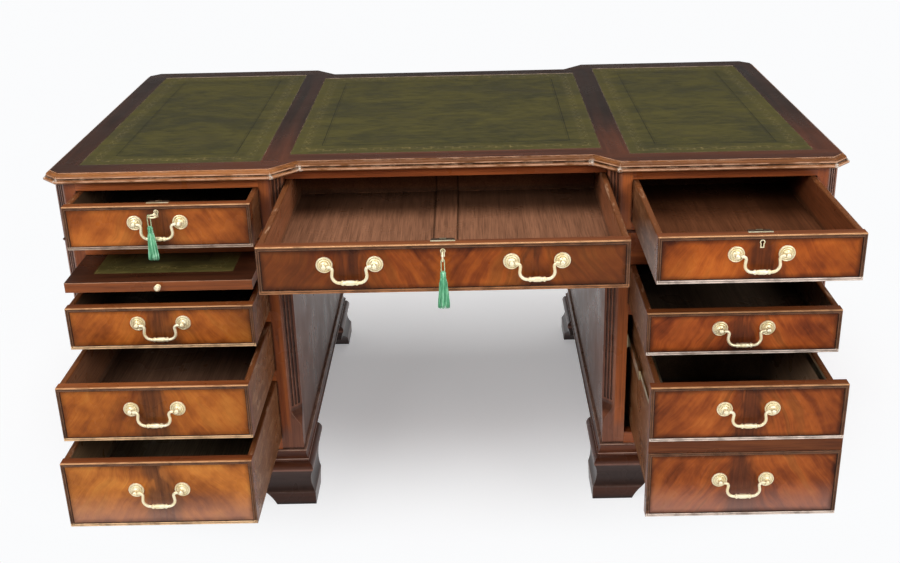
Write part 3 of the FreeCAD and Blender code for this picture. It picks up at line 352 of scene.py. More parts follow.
def mitre_chips_and_glints(s, ax, ay):
    """Pale chip marks and painted glints at the corners of the top's edge."""
    spots = []
    for px, py in MITRES:
        squares = s.add(s.math("POWER", s.sub(ax, px), 2.0), s.math("POWER", s.sub(ay, py), 2.0))
        spots.append(s.ramp(s.math("POWER", squares, 0.5), 0.0085, 0.0025))
    chip_and_glint_noise = s.ramp(s.noise(s.point, 150.0, 2.0), 0.42, 0.56)
    return s.mul(s.most(*spots), chip_and_glint_noise, s.ramp(s.z, TOP_LEVEL - 0.0001, TOP_LEVEL - 0.0010))


def top_wood():
    """The top board: banding that follows each side, redder in front, and a moulded edge in painted shade and
    highlights.
    """
    s = Shader("top_mahogany")
    ax = s.absolute(s.x)
    ay = s.absolute(s.y)
    between = s.mul(s.over(ax, CENTRE_LEATHER[0]), s.under(ax, WING_INNER))
    along_y = s.mul(s.most(s.over(ax, WING_OUTER), between), s.under(ay, WING_LEATHER[1]))
    figure, pores = grain(s, "x", s.mix(along_y, s.point, s.vector(s.y, s.x, s.z)))
    flat = wood_colour(s, figure, pores, (0.015, 0.0058, 0.0032), (0.040, 0.0135, 0.0068))
    red = wood_colour(s, figure, pores, (0.066, 0.0185, 0.0080), (0.130, 0.037, 0.0155))
    redness = s.mul(s.ramp(s.y, -0.02, -0.37), s.ramp(s.x, -0.80, -0.45, 0.25, 0.9))
    flat = s.mix(redness, flat, red)
    edge = wood_colour(s, figure, pores, (0.155, 0.054, 0.017), (0.34, 0.125, 0.036))
    edge = s.darker(s.ramp(ax, 0.34, 0.29), edge, 0.72)
    # Painted shade in the hollow and in the cove below the bead
    edge = s.darker(s.band(s.z, *EDGE_HOLLOW), edge, 0.22)
    edge = s.darker(s.ramp(s.z, *EDGE_COVE), edge, 0.35)
    # Painted highlights on the bead, the ridge and the arris, broken up by rubbing
    raised = s.most(s.band(s.z, *EDGE_BEAD), s.band(s.z, *EDGE_RIDGE), s.ramp(s.z, *EDGE_ARRIS))
    wear_and_glint = s.ramp(s.drawn((30.0, 30.0, 90.0)), 0.30, 0.62)
    edge = s.mix(s.mul(raised, wear_and_glint, 0.85), edge, (0.66, 0.37, 0.23))
    colour = s.mix(s.ramp(s.z, TOP_LEVEL - 0.0004, TOP_LEVEL - 0.0001), edge, flat)
    # Pale chip marks and painted glints at the mitres
    colour = s.mix(mitre_chips_and_glints(s, ax, ay), colour, (0.60, 0.52, 0.44))
    return polished(s, colour, pores, wear_and_highlight=(0.62, 0.40, 0.27), specular=0.15, edge=0.0022)


def post_wood():
    """Fluted posts: bright by the openings, with painted shade on the canted corner, in the flutes and below
    them.
    """
    s = Shader("post_mahogany")
    figure, pores = grain(s, "z")
    colour = wood_colour(s, figure, pores, (0.19, 0.043, 0.011), (0.41, 0.110, 0.025))
    off = s.absolute(s.sub(s.absolute(s.x), PEDESTAL_X))
    # Painted shade: the canted corner and the post's foot below the flutes take a darker, greyer tone
    cant = s.ramp(off, OPENING_HALF + 0.018, OPENING_HALF + 0.025)
    edge_tone = wood_colour(s, figure, pores, (0.120, 0.042, 0.023), (0.225, 0.088, 0.050))
    low_block = s.ramp(s.z, 0.200, 0.165, 0.0, 0.75)
    colour = s.mix(s.most(s.mul(cant, 0.85), low_block), colour, edge_tone)
    # Painted lighter right of the middle, for the light that falls there
    colour = s.times(s.over(s.x, 0.0), colour, RIGHT_PAINTED_LIGHT)
    # Painted shade in the flutes and grooves
    colour = s.darker(s.ramp(s.openness(0.006), 0.96, 0.66), colour, 0.14)
    # Painted shade in the hollow of the tongue where the flutes stop
    tongue = s.band(s.z, FLUTE_BASE - 0.034, FLUTE_BASE - 0.020, FLUTE_BASE - 0.006, FLUTE_BASE)
    outer = s.ramp(off, OPENING_HALF + 0.022, OPENING_HALF + 0.032)
    colour = s.darker(s.mul(tongue, outer, 0.8), colour, 0.30)
    return polished(s, colour, pores, wear_and_highlight=(0.55, 0.30, 0.19), edge=0.0016)


def panel_wood():
    """Sides and backs of the pedestals: quiet wood, with painted shadow of the plinth near the bottom."""
    s = Shader("panel_mahogany")
    figure, pores = grain(s, "z")
    colour = wood_colour(s, figure, pores, (0.180, 0.063, 0.028), (0.212, 0.076, 0.035))
    # Painted lighter right of the middle, for the light that falls there
    colour = s.times(s.over(s.x, 0.0), colour, RIGHT_PAINTED_LIGHT)
    # Painted shadow of the plinth, darker towards the bottom
    colour = s.darker(s.ramp(s.z, 0.34, 0.14, 0.0, 0.8), colour, 0.45)
    return polished(s, colour, pores, specular=0.06, relief=0.0)


def run_round(s):
    """Grain of boards that run round the base: it follows each side."""
    turned = s.node("ShaderNodeTexCoord").outputs["Normal"]
    normal = s.node("ShaderNodeSeparateXYZ", {0: turned}).outputs
    side = s.over(s.absolute(normal[0]), s.absolute(normal[1]))
    return grain(s, "x", s.mix(side, s.point, s.vector(s.y, s.x, s.z)))


def base_wood(name, dark, light, rub_and_glint=()):
    """Boards run round the case: painted shade in the hollows, pale arrises, and painted highlight lines at
    given heights.
    """
    s = Shader(name)
    figure, pores = run_round(s)
    colour = wood_colour(s, figure, pores, dark, light)
    # Painted shade in the hollows
    colour = s.darker(s.ramp(s.openness(0.010), 0.8, 0.3), colour, 0.35)
    patches = s.ramp(s.noise(s.point, 30.0, 3.0), 0.30, 0.55, 0.35, 0.9)
    # Painted highlight lines along the reeds at the given heights
    for level in rub_and_glint:
        line = s.near(s.z, level, 0.0013, 0.0006)
        colour = s.mix(s.mul(line, patches), colour, (0.52, 0.33, 0.25))
    return polished(s, colour, pores, wear_and_highlight=(0.36, 0.20, 0.145), edge=0.0016)


def foot_wood():
    """Bracket feet: a red shoulder with a painted highlight on its crest, painted shade in the hollow, a pad
    that darkens down.
    """
    s = Shader("foot_mahogany")
    figure, pores = run_round(s)
    # Colours by height: painted shade at the floor and in the hollow, painted highlights on the pad's ridge and
    # the crest
    colour = s.colours(s.mul(s.z, 1.0 / FOOT_HEIGHT), [
        (0.00, (0.016, 0.011, 0.010)), (0.07, (0.070, 0.021, 0.010)), (0.26, (0.090, 0.026, 0.012)),
        (0.30, (0.150, 0.078, 0.058)), (0.34, (0.066, 0.034, 0.027)), (0.60, (0.062, 0.034, 0.028)),
        (0.78, (0.082, 0.038, 0.029)), (0.825, (0.40, 0.18, 0.125)), (0.87, (0.125, 0.034, 0.013)),
        (1.00, (0.095, 0.026, 0.011))])
    colour = s.darker(s.ramp(figure, 0.7, 0.3), colour, 0.62)
    colour = s.darker(s.mul(pores, 0.4), colour, 0.5)
    return polished(s, colour, pores, wear_and_highlight=(0.44, 0.30, 0.25), edge=0.0016)


def lining_wood(drawer, dark, light):
    """A drawer's box: wood run from front to back, paler outside, pale from rubbing atop its sides, with
    painted shade at the back.
    """
    s = Shader(drawer + "_lining")
    low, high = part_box(drawer + "_drawer_box")
    figure, pores = grain(s, "y")
    figure = s.blend(0.6, figure, s.drawn((420.0, 9.0, 420.0)))
    inside = wood_colour(s, figure, pores, dark, light)
    walls = s.ramp(s.z, low.z + 0.020, low.z + 0.030)
    inside = s.times(walls, inside, (1.55, 1.30, 1.10))
    # Painted shade under the top, darker towards the back
    inside = s.darker(s.ramp(s.y, low.y + 0.31, low.y + 0.42), inside, 0.38)
    if drawer == "centre":
        seam = s.near(s.absolute(s.x), MUNTIN_HALF, 0.0030, 0.0008)
        inside = s.darker(s.mul(seam, 0.8), inside, 0.25)
    outside = wood_colour(s, figure, pores, (0.125, 0.046, 0.018), (0.270, 0.108, 0.042))
    marks = s.drawn((40.0, 22.0, 60.0), 5.0, 0.7, 0.8)
    outside = s.mix(s.ramp(marks, 0.46, 0.70, 0.0, 0.65), outside, (0.44, 0.235, 0.120))
    off = s.absolute(s.sub(s.x, (low.x + high.x) / 2))
    half = (high.x - low.x) / 2
    colour = s.mix(s.ramp(off, half - 0.0020, half - 0.0008), inside, outside)
    scuffs = s.ramp(s.drawn((90.0, 12.0, 90.0), 4.0, 0.65), 0.56, 0.68)
    edge_tone = s.mix(s.mul(scuffs, 0.6), (0.165, 0.055, 0.019), (0.52, 0.31, 0.19))
    colour = s.mix(s.ramp(s.z, high.z - 0.0042, high.z - 0.0015), colour, edge_tone)
    return polished(s, colour, pores, specular=0.07)


def slide_wood():
    """The writing slide: dark on top, brighter on its front edge, with a pale arris from rubbing and a painted
    highlight.
    """
    s = Shader("slide_mahogany")
    figure, pores = grain(s, "x")
    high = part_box("writing_slide_board")[1]
    dark = wood_colour(s, figure, pores, (0.030, 0.0095, 0.0045), (0.075, 0.024, 0.0105))
    bright = wood_colour(s, figure, pores, (0.155, 0.040, 0.0095), (0.310, 0.082, 0.0175))
    # Painted highlight along the arris, broken up by rubbing
    arris = s.ramp(s.z, high.z - 0.0022, high.z - 0.0010)
    wear_and_glint = s.ramp(s.noise(s.point, 33.0, 4.0), 0.30, 0.55, 0.3, 0.9)
    bright = s.mix(s.mul(arris, wear_and_glint), bright, (0.46, 0.24, 0.14))
    colour = s.mix(s.ramp(s.z, high.z - 0.0004, high.z - 0.0001), bright, dark)
    return polished(s, colour, pores, specular=0.22)


# Veneered fronts

def field_edges(s, x, half, low, high):
    """Distance from the edge of a beaded field."""
    return s.least(s.sub(half, s.absolute(x)), s.sub(s.z, low), s.sub(high, s.z))


def veneer_grain(s, name, x, v, leaf):
    """Places in a crotch veneer: distance from its stem, a seed for each side, across and along the grain."""
    from_stem = s.sub(s.absolute(x), CENTRE_HANDLE) if name == "centre" else x
    drift = s.centred(s.noise(s.vector(0.0, leaf, s.mul(s.z, 11.0)), 1.0, 2.0))
    off = s.add(from_stem, s.mul(drift, 0.03))
    u = s.math("SQRT", s.add(s.math("POWER", off, 2.0), 0.00004))
    side = s.add(leaf, s.mul(s.over(off, 0.0), 5.3))
    wander = s.flow(x, 9.0, v, 9.0, side, 2.0)
    across = s.add(v, s.mul(s.math("POWER", u, 0.8), 1.15), s.mul(wander, 0.07))
    along = s.sub(u, s.mul(v, 0.6))
    return u, side, across, along


def veneer_flame(s, u, side, across, along, clouds, streak):
    """Colour of the figure that falls away from the stem, in streaks, fibres, mottle and clouds."""
    broad = s.flow(across, 24.0, along, 6.0, side, 2.0, 0.5, 0.4)
    streaks = s.flow(across, 110.0, along, 9.0, side, 3.0, 0.6, 0.3)
    fibres = s.flow(across, 520.0, along, 16.0, side, 2.0, 0.6)
    mottle = s.flow(across, 50.0, along, 75.0, side)
    parts = ((broad, 0.75 * streak), (streaks, 0.24 * streak), (fibres, 0.18), (mottle, 0.18), (clouds, 0.95))
    value = s.add(0.5, *[s.mul(s.centred(part), share) for part, share in parts])
    colour = s.colours(value, [(0.20, (0.12, 0.026, 0.005)), (0.40, (0.245, 0.060, 0.010)),
                               (0.56, (0.37, 0.100, 0.016)), (0.78, (0.51, 0.165, 0.030))])
    shadows = s.mul(s.ramp(broad, 0.53, 0.66), s.ramp(u, 0.16, 0.06, 0.35, 1.0))
    return s.darker(s.mul(shadows, 0.6 * streak), colour, 0.42)


def veneer_stem(s, x, v, u, leaf):
    """The dark stem behind a handle, with tongues of lighter wood: its mask and its colour."""
    lines = s.flow(x, 150.0, v, 8.0, leaf, 3.0, 0.6, 0.4)
    pith = s.mix(s.ramp(lines, 0.35, 0.65), (0.046, 0.014, 0.006), (0.115, 0.034, 0.011))
    tongues = s.ramp(s.flow(x, 55.0, v, 10.0, leaf, 2.0, 0.5, 0.5), 0.54, 0.68)
    pith = s.mix(s.mul(tongues, s.ramp(v, -0.02, 0.03, 0.15, 0.8)), pith, (0.30, 0.085, 0.018))
    ragged = s.centred(s.flow(x, 24.0, v, 11.0, leaf))
    stem = s.ramp(s.add(u, s.mul(ragged, 0.055), s.mul(v, 0.10)), 0.042, 0.012)
    return s.mul(stem, 0.85), pith


def twin_reed(s, fields, face, reed):
    """The bead round a front: dark old polish, with a painted highlight and rubbing on its crests, most along
    its foot.
    """
    age = s.ramp(s.noise(s.point, 55.0, 3.0), 0.35, 0.65)
    old = s.mix(age, (0.016, 0.008, 0.006), (0.055, 0.021, 0.012))
    rub_and_glint = s.ramp(s.noise(s.point, 40.0, 4.0), 0.32, 0.60, 0.50, 1.0)
    foot = s.most(*[s.near(s.z, base + BEAD / 2, BEAD * 0.6, BEAD * 0.5) for base, _ in fields])
    # Painted highlight on the crests, partly rubbing, strongest on the lower bead for the floor's reflection in
    # it
    crest = s.mul(s.ramp(s.y, face - 0.0013, face - 0.0022), rub_and_glint, s.blend(foot, 0.45, 1.0))
    return s.mix(crest, old, s.mix(foot, (0.30, 0.14, 0.070), reed))


def flame_front(name, seed):
    """A drawer front: crotch veneer with a dark stem, in a twin reed, and plain wood behind its face."""
    s = Shader(name + "_flame")
    tint, streak, border, ends, reed = VENEERS[name]
    low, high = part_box(name + "_drawer_front")
    face = low.y + BEAD_RISE
    half = (high.x - low.x) / 2
    x = s.sub(s.x, (low.x + high.x) / 2)
    fields = FILE_FIELDS if name == "file" else ((low.z, high.z),)
    edge = s.most(*[field_edges(s, x, half, a, b) for a, b in fields])
    middle = sum(fields[0]) / 2
    leaf = seed
    if name == "file":
        upper = s.over(s.z, (fields[0][1] + fields[1][0]) / 2)
        middle = s.blend(upper, middle, sum(fields[1]) / 2)
        leaf = s.add(s.mul(upper, 3.7), seed)
    v = s.sub(s.z, middle)
    u, side, across, along = veneer_grain(s, name, x, v, leaf)
    clouds = s.flow(x, 10.0, v, 13.0, leaf)
    colour = veneer_flame(s, u, side, across, along, clouds, streak)
    if name == "centre":
        outer = s.ramp(s.add(s.absolute(x), s.mul(s.centred(clouds), 0.12)), 0.17, 0.24)
        colour = s.mix(s.mul(outer, 0.62), colour, (0.080, 0.030, 0.012))
    stem, pith = veneer_stem(s, x, v, u, leaf)
    colour = s.times(1.0, s.mix(stem, colour, pith), tint)
    # Painted shade towards the left and right ends
    for end, share in zip((-half, half), ends):
        colour = s.darker(s.ramp(x, end * 0.5, end * 0.97, 0.0, share), colour, 0.40)
    # Painted reflection of the floor, paler towards the bottom
    if name in FLOOR_REFLECTING_FRONTS:
        colour = s.mix(s.ramp(s.z, low.z + 0.085, low.z + 0.010, 0.0, 0.36), colour, (0.40, 0.26, 0.23))
    # A dark border inside the bead: darker glaze and painted shadow of the bead
    shaded = s.ramp(s.add(edge, s.mul(s.centred(clouds), 0.010)), BEAD + 0.011, BEAD)
    colour = s.darker(s.mul(shaded, 0.85 * border), colour, 0.30)
    # A dark line at the bead's inner edge: the quirk, with painted shade in it
    colour = s.darker(s.near(edge, BEAD, 0.0015, 0.0005), colour, 0.25)
    pores = s.ramp(s.flow(across, 900.0, along, 50.0, s.mul(s.y, 300.0), 2.0), 0.54, 0.70)
    colour = s.darker(s.mul(pores, 0.35), colour, 0.55)
    colour = s.mix(s.under(s.y, face - FACE_SLACK), colour, twin_reed(s, fields, face, reed))
    figure, plain_pores = grain(s, "x")
    plain = wood_colour(s, figure, plain_pores, (0.135, 0.034, 0.011), (0.270, 0.080, 0.022))
    if name == "file":
        rail = s.mul(s.over(s.z, fields[0][1]), s.under(s.z, fields[1][0]))
        colour = s.mix(rail, colour, s.darker(0.6, plain, 0.4))
    colour = s.mix(s.over(s.y, face + FACE_SLACK), colour, plain)
    # Painted highlight along the top arris of the face, broken up by rubbing
    lip = s.mul(s.ramp(s.z, high.z - 0.0016, high.z - 0.0004), s.ramp(s.y, face + 0.0030, face + FACE_SLACK))
    wear_and_glint = s.ramp(s.noise(s.point, 33.0, 4.0), 0.30, 0.55, 0.45, 1.0)
    colour = s.mix(s.mul(lip, wear_and_glint), colour, (0.62, 0.32, 0.15))
    return polished(s, colour, pores, specular=0.14, edge=0.0009)


# Leather

def leather(name, dark, light, panel=None):
    """Aged green hide with a gilt vine and blind lines: panel is a leather's box, or None for the top's."""
    s = Shader(name)
    if panel is None:
        ax = s.absolute(s.x)
        middle = s.under(ax, BANDING_X)
        u = s.blend(middle, s.sub(ax, PEDESTAL_X), s.x)
        v = s.y
        half_u = s.blend(middle, WING_LEATHER[0], CENTRE_LEATHER[0])
        half_v = s.blend(middle, WING_LEATHER[1], CENTRE_LEATHER[1])
    else:
        low, high = panel
        u = s.sub(s.x, (low.x + high.x) / 2)
        v = s.sub(s.y, (low.y + high.y) / 2)
        half_u = (high.x - low.x) / 2
        half_v = (high.y - low.y) / 2
    from_u = s.sub(half_u, s.absolute(u))
    from_v = s.sub(half_v, s.absolute(v))
    edge = s.least(from_u, from_v)
    along = s.blend(s.under(from_u, from_v), s.x, s.y)
    mottle = s.drawn((7.0, 11.0, 7.0), 5.0, 0.65, 0.7)
    wisps = s.drawn((30.0, 85.0, 30.0), 4.0, 0.65, 0.8)
    tone = s.add(s.mul(mottle, 0.6), s.mul(wisps, 0.4))
    colour = s.mix(s.ramp(tone, 0.36, 0.64), dark, light)
    patches = s.ramp(s.drawn((8.0, 14.0, 8.0), 5.0, 0.7, 1.2), 0.50, 0.72)
    browned = s.mix(wisps, (0.022, 0.020, 0.0085), (0.058, 0.048, 0.022))
    colour = s.mix(s.mul(patches, 0.55), colour, browned)
    rim = s.mix(tone, (0.062, 0.052, 0.012), (0.125, 0.100, 0.022))
    colour = s.mix(s.mul(s.ramp(edge, 0.060, 0.014), 0.35), colour, rim)

    def line(place, width):
        return s.near(edge, place, width, width * 0.4)

    turn = s.mul(along, 2 * math.pi / VINE_REPEAT)
    from_vine = s.sub(edge, VINE_PLACE)
    vine = s.near(from_vine, s.mul(s.math("SINE", turn), VINE_SWING), 0.0013, 0.0006)
    bud_along = s.mul(s.math("COSINE", s.mul(turn, 2.0)), 0.5)
    bud = s.mul(s.ramp(bud_along, 0.30, 0.45), s.near(s.absolute(from_vine), BUD_REACH, 0.0020, 0.0010))
    rules = s.most(*[line(*rule) for rule in GILT_RULES])
    gilt = s.most(s.mul(rules, 0.6), vine, bud)
    kept = s.ramp(s.noise(s.point, 45.0, 4.0, 0.7), 0.43, 0.64, 0.02, 0.50)
    front = s.ramp(s.add(v, half_v), 0.050, 0.036)
    kept = s.mul(kept, s.blend(front, 0.62, 1.5))
    colour = s.mix(s.mul(gilt, kept), colour, (0.36, 0.26, 0.085))
    blind = s.most(line(*BLIND_RULE), s.mul(line(*FAINT_RULE), 0.6))
    colour = s.darker(s.mul(blind, 0.95), colour, 0.10)
    rear = s.ramp(s.sub(half_v, v), 0.0075, 0.0040)
    lit = s.mul(rear, s.ramp(s.noise(s.point, 30.0, 3.0), 0.35, 0.55, 0.3, 1.0))
    colour = s.mix(lit, colour, (0.30, 0.215, 0.155))
    pebbles = s.node("ShaderNodeTexVoronoi", {"Vector": s.point, "Scale": 780.0}).outputs["Distance"]
    height = s.add(s.mul(pebbles, 0.6), s.mul(s.most(blind, gilt), -0.8))
    normal = s.bump(height, 0.00022, 0.55)
    roughness = s.add(s.ramp(mottle, 0.3, 0.7, 0.40, 0.52), s.mul(gilt, -0.12))
    return s.finish(colour, roughness, normal, specular=0.18)


# Metal and silk

def brass(name, hidden=1.0):
    """Satin brass, brown in its grooves: what lies further back than hidden is the lock's dull case."""
    s = Shader(name)
    tone = s.noise(s.point, 60.0, 4.0, 0.6)
    colour = s.mix(s.ramp(tone, 0.3, 0.7), (0.96, 0.82, 0.50), (1.0, 0.93, 0.70))
    colour = s.mix(s.ramp(s.openness(0.004, 6), 0.70, 0.22), colour, (0.34, 0.22, 0.090))
    colour = s.mix(s.ramp(s.y, hidden, hidden + 0.0010), colour, (0.105, 0.062, 0.038))
    scratches = s.drawn((900.0, 300.0, 700.0), 2.0)
    normal = s.bump(scratches, 0.00003, 0.4)
    return s.finish(colour, s.ramp(tone, 0.25, 0.75, 0.42, 0.54), normal, metallic=0.8)


def runner_steel():
    """Stained and brushed steel of the runners and bolts."""
    s = Shader("runner_steel")
    brushed = s.drawn((900.0, 12.0, 900.0))
    stain = s.noise(s.point, 24.0, 4.0)
    colour = s.mix(s.ramp(stain, 0.3, 0.7), (0.52, 0.43, 0.24), (0.70, 0.64, 0.47))
    colour = s.darker(s.ramp(brushed, 0.45, 0.7, 0.0, 0.4), colour, 0.6)
    normal = s.bump(brushed, 0.00005, 0.5)
    return s.finish(colour, s.ramp(stain, 0.3, 0.7, 0.28, 0.42), normal, metallic=1.0)


def silk():
    """Bright green silk: painted highlights where the threads shine, painted shade deep green between the
    clumps.
    """
    s = Shader("green_silk")
    threads = s.drawn((2600.0, 2600.0, 90.0), 2.0)
    clumps = s.drawn((620.0, 620.0, 26.0))
    locks = s.drawn((240.0, 240.0, 14.0), 2.0)
    # Painted highlights and shade of the threads and clumps
    shine = s.add(s.mul(threads, 0.15), s.mul(clumps, 0.60), s.mul(locks, 0.25))
    colour = s.colours(shine, [(0.38, (0.012, 0.110, 0.050)), (0.46, (0.075, 0.340, 0.170)),
                               (0.54, (0.190, 0.560, 0.300)), (0.63, (0.620, 0.920, 0.720))])
    normal = s.bump(threads, 0.00010, 0.6)
    return s.finish(colour, 0.42, normal, sheen=(0.12, 0.30, (0.55, 1.0, 0.78)))


def cord_silk():
    """The loop's twisted thread, pale green with a gilt ply."""
    s = Shader("cord_silk")
    ply = s.math("SINE", s.add(s.mul(s.z, 3600.0), s.mul(s.x, 2600.0)))
    colour = s.mix(s.ramp(ply, -0.5, 0.6), (0.20, 0.42, 0.24), (0.72, 0.74, 0.46))
    return s.finish(colour, 0.5, s.bump(ply, 0.00012, 0.6))


# Materials of the CAD nodes

def paint(material, *names):
    """Gives nodes one material each."""
    for name in names:
        mesh = NODES[name].data
        mesh.materials.clear()
        mesh.materials.append(material)


paint(top_wood(), "desk_top")
paint(leather("top_leather", (0.034, 0.031, 0.0080), (0.082, 0.070, 0.016)), "top_leathers")
paint(post_wood(), "fluted_posts")
paint(panel_wood(), "pedestal_panels")
paint(foot_wood(), "bracket_feet")
paint(slide_wood(), "writing_slide_board")
paint(leather("slide_leather", (0.054, 0.047, 0.017), (0.128, 0.104, 0.034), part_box("writing_slide_leather")),
      "writing_slide_leather")
paint(straight_wood("rail_mahogany", "x", (0.21, 0.050, 0.015), (0.46, 0.120, 0.032)), "front_rails")
paint(straight_wood("runner_wood", "y", (0.07, 0.026, 0.012), (0.16, 0.062, 0.026)), "drawer_runners")
paint(base_wood("frieze_mahogany", (0.10, 0.028, 0.012), (0.22, 0.065, 0.022)), "frieze_case")
paint(base_wood("waist_mahogany", (0.060, 0.018, 0.010), (0.150, 0.044, 0.019)), "pedestal_tops")
paint(base_wood("plinth_mahogany", (0.070, 0.020, 0.010), (0.165, 0.047, 0.019), PLINTH_GLINT_LEVELS), "plinths")

for number, name in enumerate(VENEERS):
    paint(flame_front(name, FIRST_LEAF + LEAF_STEP * number), name + "_drawer_front")
    paint(lining_wood(name, *LININGS.get(name, DEEP_LINING)), name + "_drawer_box")

# Brassware with a lock has a material of its own, for the case behind the front
metal = brass("polished_brass")
for name in NODES:
    if name.endswith(("_brassware", "_key", "_knob")) or "_bail" in name:
        paint(metal, name)
for name in LOCKED:
    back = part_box(name + "_drawer_front")[1].y
    paint(brass(name + "_brass", back - LOCK_INSET), name + "_brassware")
paint(runner_steel(), "file_runner_fixed", "file_runner_middle", "file_runner_inner",
      *[name + "_lock_bolt" for name in LOCKED])


# Tassels

def add_object(name, data):
    """A new object in the scene."""
    made = bpy.data.objects.new(name, data)
    bpy.context.scene.collection.objects.link(made)
    return made


def circle(count):
    """Angles spread evenly round a circle."""
    return [2 * math.pi * i / count for i in range(count)]


def ring_rows(bm, rows, closed_ends):
    """Skins rows of points, each a closed ring of the same count."""
    made = [[bm.verts.new(point) for point in row] for row in rows]
    count = len(rows[0])
    for a, b in zip(made, made[1:]):
        for i in range(count):
            j = (i + 1) % count
            bm.faces.new((a[i], a[j], b[j], b[i]))
    if closed_ends:
        bm.faces.new(list(reversed(made[0])))
        bm.faces.new(made[-1])


def turned_rows(centre, profile, count, ribs, depth, twist):
    """Rings of a turned form whose surface is ribbed with threads that wind round it."""
    rows = []
    for radius, drop in profile:
        row = []
        for angle in circle(count):
            r = radius * (1 + depth * math.cos(ribs * angle + twist * drop))
            row.append(centre + Vector((r * math.cos(angle), r * math.sin(angle), -drop)))
        rows.append(row)
    return rows


def strand_rows(path, radius, count=5):
    """Rings round a path, for a thread that narrows at both ends."""
    rows = []
    last = len(path) - 1
    for i, point in enumerate(path):
        ahead = (path[min(i + 1, last)] - path[max(i - 1, 0)]).normalized()
        side = ahead.cross(Vector((0.31, 0.95, 0.0))).normalized()
        other = ahead.cross(side)
        thick = radius * (0.55 if i in (0, last) else 1.0)
        rows.append([point + thick * (math.cos(t) * side + math.sin(t) * other) for t in circle(count)])
    return rows


def tassel_loop(drawer, wire, material):
    """The cord that goes over the key's bow and down into the tassel's head."""
    curve = bpy.data.curves.new(drawer + "_tassel_loop", "CURVE")
    curve.dimensions = "3D"
    curve.bevel_depth = CORD_RADIUS
    curve.bevel_resolution = 4
    spline = curve.splines.new("NURBS")
    route = [(-CORD_BEND, -CORD_DROP), (-CORD_BEND, CORD_WAIST), (-CORD_BEND, CORD_BEND),
             (CORD_BEND, CORD_BEND), (CORD_BEND, CORD_WAIST), (CORD_BEND, -CORD_DROP)]
    spline.points.add(len(route) - 1)
    for point, (x, z) in zip(spline.points, route):
        point.co = (wire.x + x, wire.y, wire.z + z, 1.0)
    spline.order_u = 3
    spline.use_endpoint_u = True
    spline.resolution_u = 16
    curve.materials.append(material)
    loop = add_object(drawer + "_tassel_loop", curve)
    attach(loop, drawer + "_tassel")
    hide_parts(drawer + "_tassel_cord")


def tassel_bindings(bm, head):
    """Turns of thread round the top of the head and round its neck."""
    for drop, radius in BINDINGS:
        turn = []
        for angle in circle(28):
            out = Vector((math.cos(angle), math.sin(angle), 0))
            middle = head + out * radius - Vector((0, 0, drop))
            turn.append([middle + BINDING_RADIUS * (out * math.cos(t) + Vector((0, 0, math.sin(t))))
                         for t in circle(8)])
        ring_rows(bm, turn + turn[:1], False)


def tassel_skirt(bm, head, rng):
    """Threads that fall from the neck in clumps and spread into a flattened skirt."""
    steps, clumps, threads = 10, 26, 13
    for clump in range(clumps):
        middle = 2 * math.pi * (clump + rng.uniform(-0.35, 0.35)) / clumps
        for _ in range(threads):
            angle = middle + rng.gauss(0, 0.09)
            layer = rng.uniform(0.55, 1.0) ** 0.5
            length = SKIRT_LENGTH - rng.uniform(0, SKIRT_UNEVEN)
            sway = rng.uniform(0.0, 0.0004)
            phase = rng.uniform(0, 2 * math.pi)
            path = []
            for k in range(steps):
                t = k / (steps - 1)
                spread = layer * (0.0043 + 0.0021 * min(1.0, t * 5.0) + 0.0044 * t ** 1.3)
                flat = 1.0 + (TASSEL_FLATNESS - 1.0) * min(1.0, t * 3.0)
                path.append(head + Vector((spread * math.cos(angle) + sway * math.sin(9 * t + phase),
                                           flat * spread * math.sin(angle) + sway * math.cos(8 * t + phase),
                                           -SKIRT_TOP - length * t)))
            ring_rows(bm, strand_rows(path, THREAD_RADIUS), True)


def make_tassel(drawer, seed, side):
    """Cord loop, wound head with its bindings, and a skirt of threads: side is 1 where the key is turned."""
    low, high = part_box(drawer + "_drawer_front")
    key = Vector(((low.x + high.x) / 2, low.y + BEAD_RISE - KEY_REACH - KEY_BOW, high.z - KEY_DROP))
    wire = key - KEY_BOW * Vector((side, 0, 1 - side))
    head = wire - Vector((0, 0, CORD_DROP))
    tassel_loop(drawer, wire, cord_silk())
    bm = bmesh.new()
    ring_rows(bm, turned_rows(head, HEAD_PROFILE, 72, 18, 0.035, 180.0), True)
    tassel_bindings(bm, head)
    tassel_skirt(bm, head, random.Random(seed))
    mesh = bpy.data.meshes.new(drawer + "_tassel_threads")
    bm.to_mesh(mesh)
    bm.free()
    for polygon in mesh.polygons:
        polygon.use_smooth = True
    mesh.materials.append(silk())
    threads = add_object(drawer + "_tassel_threads", mesh)
    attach(threads, drawer + "_tassel")
    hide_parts(drawer + "_tassel")


make_tassel("left_top", 11, 1)
make_tassel("centre", 12, 0)


# Stage, light and camera

